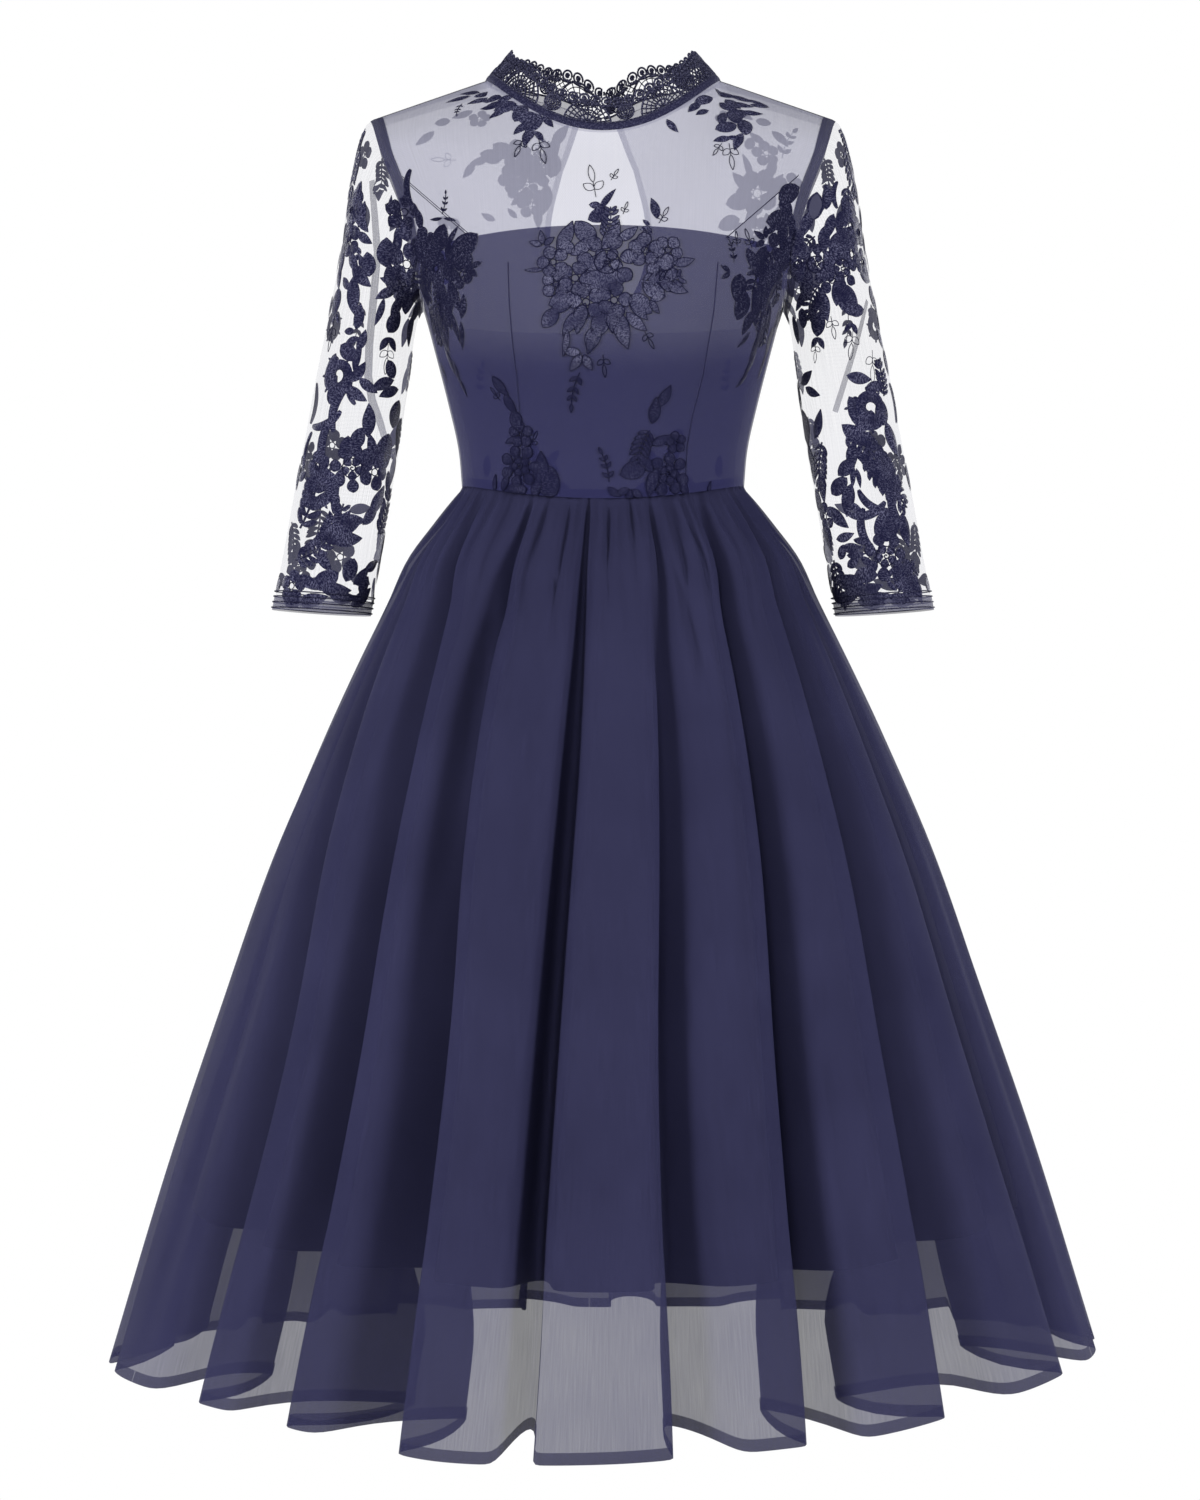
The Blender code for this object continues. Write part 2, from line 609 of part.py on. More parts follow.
def make_overlay(collection):
    """The sheer outer layer: one front, and two backs with the keyhole between them."""
    net = make_material("net")
    across = NECK_COLUMNS + SIDE_COLUMNS
    half = torso_rows(TORSO_LEVELS, across, out=NET_OUT)
    half = side_seam(half, TORSO_LEVELS, -1)
    front = [left_half[:-1] + right_half
             for left_half, right_half in zip(mirrored(half), half)]
    panel(collection, "overlay_front", front, NET_WALL, net)
    back = torso_rows(TORSO_LEVELS, across, back=True, out=NET_OUT, keyhole=True)
    back = side_seam(back, TORSO_LEVELS, -1)
    panel(collection, "overlay_back_left", back, NET_WALL, net)
    panel(collection, "overlay_back_right", mirrored(back), NET_WALL, net)


# ---------------------------------------------------------------- sleeves

def armhole_point(level, back):
    point = torso_point(level, 1.0, back, out=NET_OUT)
    if level <= UNDERARM_LEVEL:
        point[1] = 0.0
    return point


def sleeve_ring_point(ring, turn):
    """A ring of the sleeve; turn is 0 at the outermost point, 180 at the innermost one, and
    passes the front at 90."""
    outer = np.array((SLEEVE.at("outer_x", ring), 0.0, SLEEVE.at("outer_z", ring)))
    inner = np.array((SLEEVE.at("inner_x", ring), 0.0, SLEEVE.at("inner_z", ring)))
    middle = (outer + inner) / 2
    spoke = (outer - inner) / 2
    point = middle + spoke * math.cos(math.radians(turn))
    point[1] = SLEEVE.at("middle_y", ring) - SLEEVE.at("half_depth", ring) * math.sin(
        math.radians(turn))
    return point


def armhole_turns():
    """The turn round the sleeve at which each armhole level lies."""
    front = [armhole_point(level, False) for level in ARMHOLE_LEVELS]
    steps = [np.linalg.norm(b - a) for a, b in zip(front, front[1:])]
    travelled = np.concatenate(((0.0,), np.cumsum(steps)))
    return [180.0 * float(distance) / float(travelled[-1]) for distance in travelled]


def sleeve_point(ring, index, turns, back):
    """Eases from the armhole's own edge into the sleeve's rings."""
    turn = -turns[index] if back else turns[index]
    round_point = sleeve_ring_point(ring, turn)
    level = ARMHOLE_LEVELS[index]
    edge = armhole_point(level, back)
    start = sleeve_ring_point(0, turn)
    hold = 1.0 - smoothstep(0.0, SLEEVE_HEAD_RINGS, ring)
    return round_point + (edge - start) * hold + seam_offset(turn) * hold


def seam_offset(turn):
    """Keeps the sleeve's edge a seam's width outside the armhole, more under the arm."""
    under = (1 - math.cos(math.radians(turn))) / 2
    return mix(np.array(SLEEVE_SEAM_TOP), np.array(SLEEVE_SEAM_UNDER), under)


def make_sleeves(collection):
    net = make_material("net")
    turns = armhole_turns()
    last = len(ARMHOLE_LEVELS) - 1
    rows = []
    for ring in SLEEVE_RINGS:
        front = [sleeve_point(ring, i, turns, False) for i in range(last + 1)]
        back = [sleeve_point(ring, i, turns, True) for i in range(last, -1, -1)]
        rows.append(front + back[1:])
    panel(collection, "sleeve_left", rows, NET_WALL, net, tube=True)
    panel(collection, "sleeve_right", mirrored(rows), NET_WALL, net, tube=True)


# ---------------------------------------------------------------- skirt

def back_folds():
    """The folds from the left side seam round the back to the right one, hand-gathered."""
    folds = []
    for k in range(1, BACK_LOBES):
        share = k / BACK_LOBES
        sway = BACK_FOLD_SWAY * math.sin(2.4 * k)
        angles = [mix(start, end + 360.0, share) + sway
                  for start, end in zip(LEFT_SEAM_FOLD[:4], RIGHT_SEAM_FOLD[:4])]
        width = BACK_FOLD_WIDTH * (1 + 0.18 * math.sin(1.7 * k))
        depth = 0.92 + 0.12 * math.cos(2.9 * k)
        folds.append((*angles, width, depth))
    return folds


def all_folds():
    """Every fold once round, from the right seam's fold, with the first repeated at the end."""
    turned = tuple(angle + 360.0 for angle in RIGHT_SEAM_FOLD[:4]) + RIGHT_SEAM_FOLD[4:]
    return [RIGHT_SEAM_FOLD, *FRONT_FOLDS, LEFT_SEAM_FOLD, *back_folds(), turned]


FOLDS = all_folds()
FIRST_BACK_LOBE = len(FRONT_FOLDS) + 1
LAST_LOBE = len(FOLDS) - 2
MIDDLE_BACK_LOBE = FIRST_BACK_LOBE + BACK_LOBES // 2
LEFT_SEAM_LOBE = len(FRONT_FOLDS)
SEAM_LOBES = (0, LEFT_SEAM_LOBE, MIDDLE_BACK_LOBE)


def fold_angle(fold, z):
    """Where a fold's bottom lies at a height, in degrees."""
    path = Table(("z", "angle"), tuple(zip(FOLD_HEIGHTS, FOLDS[fold][:4])))
    return path.at("angle", z)


def gathers_in(lobe):
    return 2 if lobe >= FIRST_BACK_LOBE and lobe not in SEAM_LOBES else 3


def columns_in(lobe):
    return gathers_in(lobe) * (4 if lobe in SEAM_LOBES else 3)


def fold_half_width(fold, z):
    """Half width of a fold at a height, in metres, with that of the hem as its full size."""
    hem = FOLD_HEIGHTS[-1]
    grown = (z - WAIST_SIDE_Z) / (hem - WAIST_SIDE_Z)
    return FOLDS[fold][4] * mix(FOLD_AT_WAIST, 1.0, grown)


def lobe_span(lobe, z):
    """A lobe's two edges in degrees, and its width in metres."""
    left = fold_angle(lobe, z)
    right = fold_angle(lobe + 1, z)
    metres = math.radians(right - left) * SKIRT.at("half_width", z) * GIRTH
    return left, right, metres


def lobe_share(lobe, column, z, extra):
    """Where a column of a lobe lies between its two folds, from 0 to 1.  Even at the waist, it
    crowds into the folds' walls lower down; extra widens the folds, for the lining."""
    count = columns_in(lobe)
    even = column / count
    left, right, metres = lobe_span(lobe, z)
    near = (fold_half_width(lobe, z) + extra) / metres
    far = (fold_half_width(lobe + 1, z) + extra) / metres
    wall = SEAM_LOBE_STEPS if count > LONG_LOBE else LOBE_STEPS
    shares = [0.0] + [near * step for step in wall]
    inner = count - 1 - 2 * len(wall)
    low = near * wall[-1]
    high = 1.0 - far * wall[-1]
    shares += [mix(low, high, (i + 1) / (inner + 1)) for i in range(inner)]
    shares += [1.0 - far * step for step in reversed(wall)] + [1.0]
    settled = smoothstep(WAIST_SIDE_Z, SETTLE_Z, z)
    return mix(even, shares[column], settled)


def fold_inset(lobe, share, z, extra):
    """How far the cloth lies inside the lobes' crests at a point of a lobe."""
    metres = lobe_span(lobe, z)[2]
    inset = 0.0
    for fold, distance in ((lobe, share * metres), (lobe + 1, (1 - share) * metres)):
        width = fold_half_width(fold, z) + extra
        depth = SKIRT.at("fold_depth", z) * FOLDS[fold][5]
        inset += depth * math.exp(-(distance / width) ** 2)
    rounding = SKIRT.at("fold_depth", z) * LOBE_ROUNDING * (2 * share - 1) ** 2
    return inset + rounding


def nominal(fall, lining):
    """Height of a row before its drop, and how much wider than the chiffon's its folds are."""
    if lining:
        z = mix(WAIST_SIDE_Z, LINING_HEM_SIDE_Z, fall)
        return z, LINING_FOLD_EASE * smoothstep(0.0, LINING_EASE_FALL, fall)
    return mix(WAIST_SIDE_Z, CHIFFON_LENGTH_Z, fall), 0.0


def skirt_point(lobe, share, fall, lining):
    """A point of the chiffon or the lining; fall is 0 at the waist seam and 1 at the hem."""
    z, extra = nominal(fall, lining)
    left, right, _ = lobe_span(lobe, z)
    degrees = mix(left, right, share)
    turn = math.radians(degrees)
    facing = math.cos(turn)
    front = facing >= 0
    inset = fold_inset(lobe, share, z, extra)
    gathers = gathers_in(lobe)
    if lining:
        inset += SKIRT.at("lining_inset", z) + SKIRT.at("lining_side", z) * math.sin(turn) ** 4
    else:
        wave = (1 + math.cos(2 * math.pi * gathers * share)) / 2
        inset += SKIRT.at("gather_depth", z) * wave
    half_width = SKIRT.at("half_width", z)
    gained = half_width - WAIST_HALF_WIDTH
    front_depth = WAIST_FRONT_DEPTH + gained * FRONT_DEPTH_RATE
    back_depth = WAIST_BACK_DEPTH + gained * BACK_DEPTH_RATE
    depth = front_depth if front else back_depth
    x = (half_width - inset) * math.sin(turn)
    y = -(depth - inset) * facing
    waist_drop = (WAIST_FRONT_DROP if front else WAIST_BACK_DROP) * facing ** 2
    if lining:
        hem_drop = LINING_HEM_FRONT_DROP * facing ** 2
    else:
        heading = math.degrees(math.atan2(math.sin(turn), facing))
        valley = min(inset / max(SKIRT.at("fold_depth", z), 0.001), 1.0)
        hem_drop = CHIFFON_LENGTH_Z - HEM.at("z", heading) - HEM_VALLEY_LIFT * valley
    drop = mix(waist_drop + WAIST_GAP, hem_drop, fall)
    return np.array((x, y, z - drop))


def skirt_panel(collection, name, first, last, steps, wall, material, lining):
    """The skirt from the middle of one seam lobe to the middle of another."""
    rows = []
    for fall in steps:
        z, extra = nominal(fall, lining)
        row = []
        for turn in range(first, last + 1):
            lobe = turn % (LAST_LOBE + 1)
            count = columns_in(lobe)
            start = count // 2 if turn == first else 0
            end = count // 2 + 1 if turn == last else count
            for column in range(start, end):
                share = lobe_share(lobe, column, z, extra)
                row.append(skirt_point(lobe, share, fall, lining))
        rows.append(row)
    nudge(rows, 0, 1, SKIRT_SEAM_HALF)
    nudge(rows, -1, -1, SKIRT_SEAM_HALF)
    return panel(collection, name, rows, wall, material)


def make_skirt(collection):
    """Chiffon over lining, each with a front and two backs that meet at a centre back seam."""
    chiffon = make_material("chiffon")
    lining = make_material("lining")
    spans = (
        ("front", 0, LEFT_SEAM_LOBE),
        ("back_left", LEFT_SEAM_LOBE, MIDDLE_BACK_LOBE),
        ("back_right", MIDDLE_BACK_LOBE, LAST_LOBE + 1),
    )
    for name, first, last in spans:
        skirt_panel(collection, "skirt_chiffon_" + name, first, last, CHIFFON_STEPS,
                    CHIFFON_WALL, chiffon, False)
        skirt_panel(collection, "skirt_lining_" + name, first, last, LINING_STEPS,
                    LINING_WALL, lining, True)


# ---------------------------------------------------------------- the dress

def main():
    clear_scene()
    dress = bpy.data.collections.new("cocktail_dress")
    bpy.context.scene.collection.children.link(dress)
    make_collar(dress)
    make_overlay(dress)
    make_bodice(dress)
    make_sleeves(dress)
    make_skirt(dress)


main()
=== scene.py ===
"""Looks of the cocktail dress: every panel again as cloth, finer than its solid, with its folds,
gathers, hems, seams, net, corded lace and embroidery.

Metres, +Z up, -Y the front, +X the wearer's left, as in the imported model.
"""

import math
import random
from functools import partial

import bpy
import numpy as np
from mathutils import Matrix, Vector
from mathutils.bvhtree import BVHTree


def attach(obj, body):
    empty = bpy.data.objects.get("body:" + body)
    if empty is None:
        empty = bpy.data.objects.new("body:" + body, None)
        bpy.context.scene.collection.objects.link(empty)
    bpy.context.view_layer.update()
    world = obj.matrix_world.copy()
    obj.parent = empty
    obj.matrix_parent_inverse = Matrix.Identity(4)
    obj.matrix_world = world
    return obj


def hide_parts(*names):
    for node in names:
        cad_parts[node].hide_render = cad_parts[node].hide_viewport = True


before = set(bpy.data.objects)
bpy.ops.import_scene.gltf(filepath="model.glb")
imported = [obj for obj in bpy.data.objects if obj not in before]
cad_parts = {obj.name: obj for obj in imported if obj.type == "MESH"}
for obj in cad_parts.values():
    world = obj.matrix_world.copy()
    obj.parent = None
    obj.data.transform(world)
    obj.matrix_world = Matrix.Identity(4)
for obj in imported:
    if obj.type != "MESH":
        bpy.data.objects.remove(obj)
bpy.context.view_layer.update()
rng = random.Random(7)

# ---------------------------------------------------------------- sizes shared with the solids

CHIFFON_LENGTH_Z = -1.0410
HEM_VALLEY_LIFT = 0.0170
LINING_HEM_SIDE_Z = -0.9080
LINING_HEM_FRONT_DROP = 0.0370
WAIST_SIDE_Z = -0.3220
WAIST_FRONT_DROP = 0.0150
WAIST_BACK_DROP = 0.0060
WAIST_GAP = 0.0010

NECK_HALF_WIDTH = 0.0970
NECK_SIDE_Y = 0.0040
# Half ovals of the neckline and of the collar's top edge: half width, height at the sides, reach
# and drop in front, the same at the back, and how much of the closing's dip they take.
NECK_OVAL = (NECK_HALF_WIDTH, 0.0160, (0.0820, 0.0540), (0.0620, 0.0110), 1.0)
COLLAR_TOP_OVAL = (0.0760, 0.0400, (0.0690, 0.0500), (0.0520, 0.0030), 1.2)
CLOSING_DIP = 0.0150
CLOSING_DIP_SPREAD = 14.0
REPEAT_DEGREES = 40.0
ROSETTE_DEGREES = 12.0
FAN_START = 0.13
FAN_END = 0.87
RINGS = 6
RING_SIZE = 0.0042

SHOULDER_TIP = np.array((0.1880, NECK_SIDE_Y, -0.0154))
CHEST_PULL = 0.75
SHOULDER_FALL = 0.35
YOKE_LEVEL = 8
NECK_LEVEL = 10
UNDERARM_LEVEL = 4
BACK_TOP_LEVEL = 3.85
FRONT_TOP_LEVEL = 6
NET_OUT = 0.0021               # overlay outside the bodice's middle
BODICE_OUT = 0.0010
SLEEVE_SEAM_TOP = np.array((0.0008, 0.0, 0.0003))
SLEEVE_SEAM_UNDER = np.array((0.0024, 0.0, 0.0))
SLEEVE_HEAD_RINGS = 3.0
ARMHOLE_LEVELS = (10, 9, 8, 7, 6, 5, 4.5, 4.2, 4)

PIXEL = 0.00083                # metres in the shoulder line's plane for a pixel of 1200 x 1500
FRAME_MIDDLE = (600, 750)
DISTANCE = 3.0
EYE = np.array((-0.0025, -DISTANCE, -0.5400))
SIDES = (("left", 1.0), ("right", -1.0))

ROUNDED_DOWN = 0.999
NARROWEST_SHEET = 0.0101
LEAST_AREA_SHARE = 0.31


def smooth_path(t, start, leave, end, land):
    """A cubic from start to end, whose tangents there are leave and land."""
    return ((2 * t ** 3 - 3 * t ** 2 + 1) * start + (t ** 3 - 2 * t ** 2 + t) * leave
            + (3 * t ** 2 - 2 * t ** 3) * end + (t ** 3 - t ** 2) * land)


class Table:
    """Rows of named columns, read on a smooth curve through the rows."""

    def __init__(self, names, rows):
        rows = np.array(sorted(rows), float)
        self.keys = rows[:, 0]
        places = np.arange(len(rows))
        low = np.maximum(places - 1, 0)
        high = np.minimum(places + 1, len(rows) - 1)
        slopes = (rows[high] - rows[low]) / (self.keys[high] - self.keys[low])[:, None]
        self.columns = dict(zip(names, zip(rows.T, slopes.T)))

    def at(self, name, key):
        keys = self.keys
        values, slopes = self.columns[name]
        key = np.clip(key, keys[0], keys[-1])
        i = np.clip(np.searchsorted(keys, key, side="right") - 1, 0, len(keys) - 2)
        step = keys[i + 1] - keys[i]
        return smooth_path((key - keys[i]) / step, values[i], slopes[i] * step,
                           values[i + 1], slopes[i + 1] * step)


# Levels of the torso, from the waist (0) by the underarm (4) to the yoke (8): heights in the
# middle and at the sides, half width, depth, roundness, and how far out edge and seam lie.
TORSO_NAMES = ("level", "z_mid", "z_side", "half_width", "depth", "power", "edge_x", "seam_x")
TORSO_FRONT = Table(TORSO_NAMES, (
    (0, -0.3370, -0.3220, 0.1150, 0.0850, 2.20, 0.1150, 0.0670),
    (1, -0.3000, -0.2900, 0.1180, 0.0890, 2.20, 0.1180, 0.0680),
    (2, -0.2620, -0.2550, 0.1258, 0.0990, 2.25, 0.1258, 0.0730),
    (3, -0.2150, -0.2120, 0.1368, 0.1160, 2.40, 0.1368, 0.0810),
    (4, -0.1780, -0.1770, 0.1465, 0.1170, 2.50, 0.1465, 0.0860),
    (5, -0.1500, -0.1550, 0.1560, 0.1110, 2.50, 0.1487, 0.0890),
    (6, -0.1190, -0.1340, 0.1660, 0.1030, 2.50, 0.1490, 0.0910),
    (7, -0.0850, -0.0900, 0.1800, 0.0940, 2.50, 0.1580, 0.0930),
    (8, -0.0560, -0.0500, 0.2000, 0.0810, 2.50, 0.1740, 0.0945),
))
TORSO_BACK = Table(TORSO_NAMES, (
    (0, -0.3280, -0.3220, 0.1150, 0.0800, 2.20, 0.1150, 0.0600),
    (1, -0.2950, -0.2900, 0.1180, 0.0820, 2.20, 0.1180, 0.0610),
    (2, -0.2580, -0.2550, 0.1258, 0.0880, 2.25, 0.1258, 0.0660),
    (3, -0.2150, -0.2120, 0.1368, 0.0940, 2.35, 0.1368, 0.0740),
    (4, -0.1780, -0.1770, 0.1465, 0.0980, 2.40, 0.1465, 0.0800),
    (5, -0.1500, -0.1550, 0.1560, 0.0995, 2.40, 0.1487, 0.0840),
    (6, -0.1200, -0.1340, 0.1660, 0.1000, 2.45, 0.1490, 0.0870),
    (7, -0.0850, -0.0900, 0.1800, 0.0970, 2.50, 0.1590, 0.0900),
    (8, -0.0450, -0.0500, 0.2000, 0.0850, 2.50, 0.1750, 0.0935),
))
KEYHOLE = Table(("level", "half_width"), (
    (4.0, 0.0000), (4.2, 0.0000), (4.5, 0.0150), (5.0, 0.0290), (6.0, 0.0400), (7.0, 0.0400),
    (8.0, 0.0300), (9.0, 0.0200), (10.0, 0.0120),
))
# Rings of the sleeve, from the armhole to the cuff.
SLEEVE = Table(("ring", "outer_x", "outer_z", "inner_x", "inner_z", "half_depth", "middle_y"), (
    (0, 0.1880, -0.0154, 0.1508, -0.1766, 0.0560, 0.0000),
    (1, 0.1975, -0.0230, 0.1530, -0.1815, 0.0560, 0.0000),
    (2, 0.2050, -0.0480, 0.1550, -0.1880, 0.0550, 0.0000),
    (3, 0.2120, -0.0850, 0.1575, -0.2020, 0.0530, 0.0000),
    (4, 0.2175, -0.1270, 0.1600, -0.2230, 0.0510, 0.0000),
    (5, 0.2260, -0.1720, 0.1630, -0.2470, 0.0490, -0.0005),
    (6, 0.2380, -0.2320, 0.1675, -0.2780, 0.0465, -0.0015),
    (7, 0.2470, -0.2820, 0.1720, -0.3080, 0.0445, -0.0030),
    (8, 0.2570, -0.3340, 0.1785, -0.3450, 0.0420, -0.0045),
    (9, 0.2640, -0.3740, 0.1845, -0.3810, 0.0400, -0.0060),
    (10, 0.2735, -0.4240, 0.1930, -0.4290, 0.0375, -0.0075),
))
# The skirt by height at its sides; the last three are depths inwards.
SKIRT = Table(("z", "half_width", "fold_depth", "gather_depth", "lining_inset", "lining_side"), (
    (-0.3220, 0.1170, 0.0000, 0.0030, 0.0036, 0.0000),
    (-0.3340, 0.1275, 0.0018, 0.0068, 0.0080, 0.0000),
    (-0.3500, 0.1400, 0.0040, 0.0082, 0.0098, 0.0000),
    (-0.3820, 0.1630, 0.0085, 0.0060, 0.0092, 0.0005),
    (-0.4160, 0.1785, 0.0125, 0.0028, 0.0080, 0.0015),
    (-0.4650, 0.2025, 0.0170, 0.0012, 0.0072, 0.0030),
    (-0.5320, 0.2335, 0.0215, 0.0000, 0.0076, 0.0050),
    (-0.6310, 0.2756, 0.0275, 0.0000, 0.0082, 0.0080),
    (-0.7480, 0.3160, 0.0330, 0.0000, 0.0090, 0.0110),
    (-0.8800, 0.3600, 0.0375, 0.0000, 0.0100, 0.0135),
    (-1.0500, 0.4110, 0.0410, 0.0000, 0.0110, 0.0150),
))
KEYHOLE_SHIFT = 0.0040
WAIST_HALF_WIDTH = 0.1170
WAIST_FRONT_DEPTH = 0.0866
WAIST_BACK_DEPTH = 0.0816
FRONT_DEPTH_RATE = 0.885
BACK_DEPTH_RATE = 0.830
SETTLE_Z = -0.4600             # where the gathers have settled into lobes
LOBE_ROUNDING = 0.09
GIRTH = 0.93                   # metres round the skirt for its half width times the angle
LINING_FOLD_EASE = 0.0035
LINING_EASE_FALL = 0.15
HEM = Table(("degrees", "z"), (
    (-180.0, -1.0520), (-130.0, -1.0500), (-92.0, -1.0450), (-66.0, -1.0400), (-44.0, -1.0440),
    (-30.0, -1.0550), (-17.0, -1.0660), (0.0, -1.0650), (17.0, -1.0580), (30.0, -1.0530),
    (52.0, -1.0360), (75.0, -1.0280), (95.0, -1.0290), (130.0, -1.0440), (180.0, -1.0520),
))
FRONT_FOLDS = (                # waist, hip, thigh and hem in degrees; half width; depth
    (-76.0, -66.0, -53.0, -52.5, 0.0110, 0.90),
    (-56.0, -44.5, -38.4, -38.3, 0.0120, 1.00),
    (-29.5, -29.8, -25.3, -25.2, 0.0150, 1.05),
    (-5.5, -6.0, -8.1, -9.6, 0.0085, 1.00),
    (19.0, 15.0, 10.5, 10.0, 0.0130, 0.85),
    (40.5, 34.0, 27.0, 24.0, 0.0105, 1.00),
    (63.5, 53.0, 45.5, 42.3, 0.0125, 1.05),
    (80.0, 69.0, 64.5, 66.0, 0.0110, 0.95),
)
FOLD_HEIGHTS = (WAIST_SIDE_Z, SETTLE_Z, -0.7400, -1.0500)
RIGHT_SEAM_FOLD = (-104.0, -92.0, -82.0, -80.0, 0.0110, 0.90)
LEFT_SEAM_FOLD = (100.0, 92.0, 86.0, 84.0, 0.0110, 0.90)
BACK_LOBES = 13
BACK_FOLD_WIDTH = 0.0120
BACK_FOLD_SWAY = 1.6
FOLD_AT_WAIST = 0.38           # share of a fold's width that it has at the waist
LIP_ROOM = 1.15                # fold widths between a leaning lobe's lip and the fold
RECOIL_REACH = 3.5             # fold widths over which the lobe is pulled back for it
SPREAD_GAIN = 1.7
CREASE_TAPER = (0.55, 1.15)    # of a crease's width, at its top and at its foot
CROWDING = 0.55                # how closely the points of a row crowd towards the folds
LEAN_OPENS = 0.02              # metres of lean at which a fold is at its widest
LEAN_SHARPENS = 0.03           # and at which its hem's valley is at its sharpest
PUFF_SHARE = 1.35
FINE_SHARE = 0.42
FINE_GATHERS_FULL_Z = -0.3320
FINE_GATHERS_END_Z = -0.3720
GATHERS_FALL = 0.22            # share of the skirt in close rows
GATHERS_ROWS = 22
GATHERS_CROWDING = 1.4         # how much closer those rows lie at the waist
SEAM_DIP = 0.0006
TUCK_GAP = 0.0004
TUCK_IN = 0.0016
TUCK_UP = 0.0070


def smoothstep(low, high, value):
    """0 up to low, 1 from high on, and a smooth curve between them."""
    t = np.clip((value - low) / (high - low), 0.0, 1.0)
    return t * t * (3 - 2 * t)


def mix(a, b, t):
    return a + (b - a) * t


def unit(vector):
    return vector / max(float(np.linalg.norm(vector)), 1e-12)


# ---------------------------------------------------------------- materials

WAVE_PITCH = 0.31416           # metres between the bands of a wave texture at scale 1


class Finish:
    """A cloth material that is put together node by node."""

    def __init__(self, name, colour, roughness, specular=0.3, sheen=0.0):
        self.material = bpy.data.materials.new(name)
        self.material.use_nodes = True
        self.tree = self.material.node_tree
        self.shader = self.tree.nodes["Principled BSDF"]
        for key, value in {
                "Base Color": (*colour, 1.0), "Roughness": roughness,
                "Specular IOR Level": specular, "Sheen Weight": sheen,
                "Sheen Roughness": 0.45, "Sheen Tint": (0.5, 0.5, 0.7, 1.0)}.items():
            self.shader.inputs[key].default_value = value
        self.coords = self.add("ShaderNodeTexCoord")

    def add(self, kind, inputs=(), **settings):
        """A new node, its inputs linked to sockets or set to values."""
        node = self.tree.nodes.new(kind)
        for key, value in settings.items():
            setattr(node, key, value)
        for key, value in dict(inputs).items():
            if isinstance(value, bpy.types.NodeSocket):
                self.tree.links.new(value, node.inputs[key])
            else:
                node.inputs[key].default_value = value
        return node

    def feed(self, name, socket):
        """Links a socket to an input of the shader."""
        self.tree.links.new(socket, self.shader.inputs[name])

    def scaled(self, scale, space="UV"):
        return self.add("ShaderNodeMapping", {0: self.coords.outputs[space], 3: scale}).outputs[0]

    def noise(self, scale, space="UV", detail=2.0, rough=0.5):
        return self.add("ShaderNodeTexNoise", {
            "Vector": self.scaled(scale, space), "Scale": 1.0, "Detail": detail,
            "Roughness": rough}).outputs[0]

    def bands(self, pitch, direction, distortion=0.0):
        return self.add("ShaderNodeTexWave", {
            "Vector": self.coords.outputs["UV"], "Scale": WAVE_PITCH / pitch,
            "Distortion": distortion, "Detail": 1.0}, bands_direction=direction).outputs[1]

    def diagonals(self, vector, pitch):
        return self.add("ShaderNodeTexWave", {"Vector": vector, "Scale": WAVE_PITCH / pitch},
                        bands_direction="DIAGONAL").outputs[1]

    def math(self, operation, a, b):
        return self.add("ShaderNodeMath", {0: a, 1: b}, operation=operation).outputs[0]

    def weighed(self, a, share_a, b, share_b):
        """The sum of two values, each times its share."""
        return self.math("ADD", self.math("MULTIPLY", a, share_a),
                         self.math("MULTIPLY", b, share_b))

    def span(self, value, low, high, to_low=0.0, to_high=1.0):
        return self.add("ShaderNodeMapRange", {
            0: value, 1: low, 2: high, 3: to_low, 4: to_high}).outputs[0]

    def blend(self, factor, a, b):
        return self.add("ShaderNodeMix", {0: factor, 6: (*a, 1.0), 7: (*b, 1.0)},
                        data_type="RGBA").outputs[2]

    def bump(self, height, distance):
        self.feed("Normal", self.add("ShaderNodeBump", {
            "Strength": 1.0, "Distance": distance, "Height": height}).outputs[0])


def woven(name, dark, light, pitch, roughness, sheen=0.0, alpha=None, drift=0.05, specular=0.3):
    """Plain-woven cloth: warp and weft threads, slubs along the warp, slow shade changes."""
    finish = Finish(name, light, roughness, specular, sheen)
    threads = finish.math("MULTIPLY", finish.bands(pitch, "X"), finish.bands(pitch * 1.15, "Y"))
    slubs = finish.noise((900.0, 28.0, 1.0), detail=3.0)
    clouds = finish.noise((9.0, 9.0, 9.0), "Object")
    shade = finish.weighed(slubs, 0.55, clouds, 0.45)
    finish.feed("Base Color", finish.blend(finish.span(shade, 0.35, 0.65), dark, light))
    finish.feed("Roughness", finish.span(slubs, 0.3, 0.7, roughness - 0.06, roughness + 0.06))
    finish.bump(finish.math("ADD", threads, finish.math("MULTIPLY", slubs, 0.6)), 0.00012)
    if alpha is not None:
        finish.feed("Alpha", finish.span(shade, 0.3, 0.7, alpha - drift, alpha + drift))
    return finish.material


def netting(name, colour, pitch, thin, thick, streaks):
    """Sheer net: fine crossed threads that close up a little along the warp."""
    finish = Finish(name, colour, 0.85, 0.1, 0.05)
    one = finish.bands(pitch, "DIAGONAL")
    other = finish.diagonals(finish.scaled((-1.0, 1.0, 1.0)), pitch)
    threads = finish.math("MAXIMUM", one, other)
    streak = finish.noise((700.0, 16.0, 1.0))
    cover = finish.weighed(finish.span(threads, 0.55, 1.0), 1 - streaks,
                           finish.span(streak, 0.3, 0.7), streaks)
    finish.feed("Alpha", finish.span(cover, 0.0, 1.0, thin, thick))
    finish.bump(threads, 0.00008)
    return finish.material


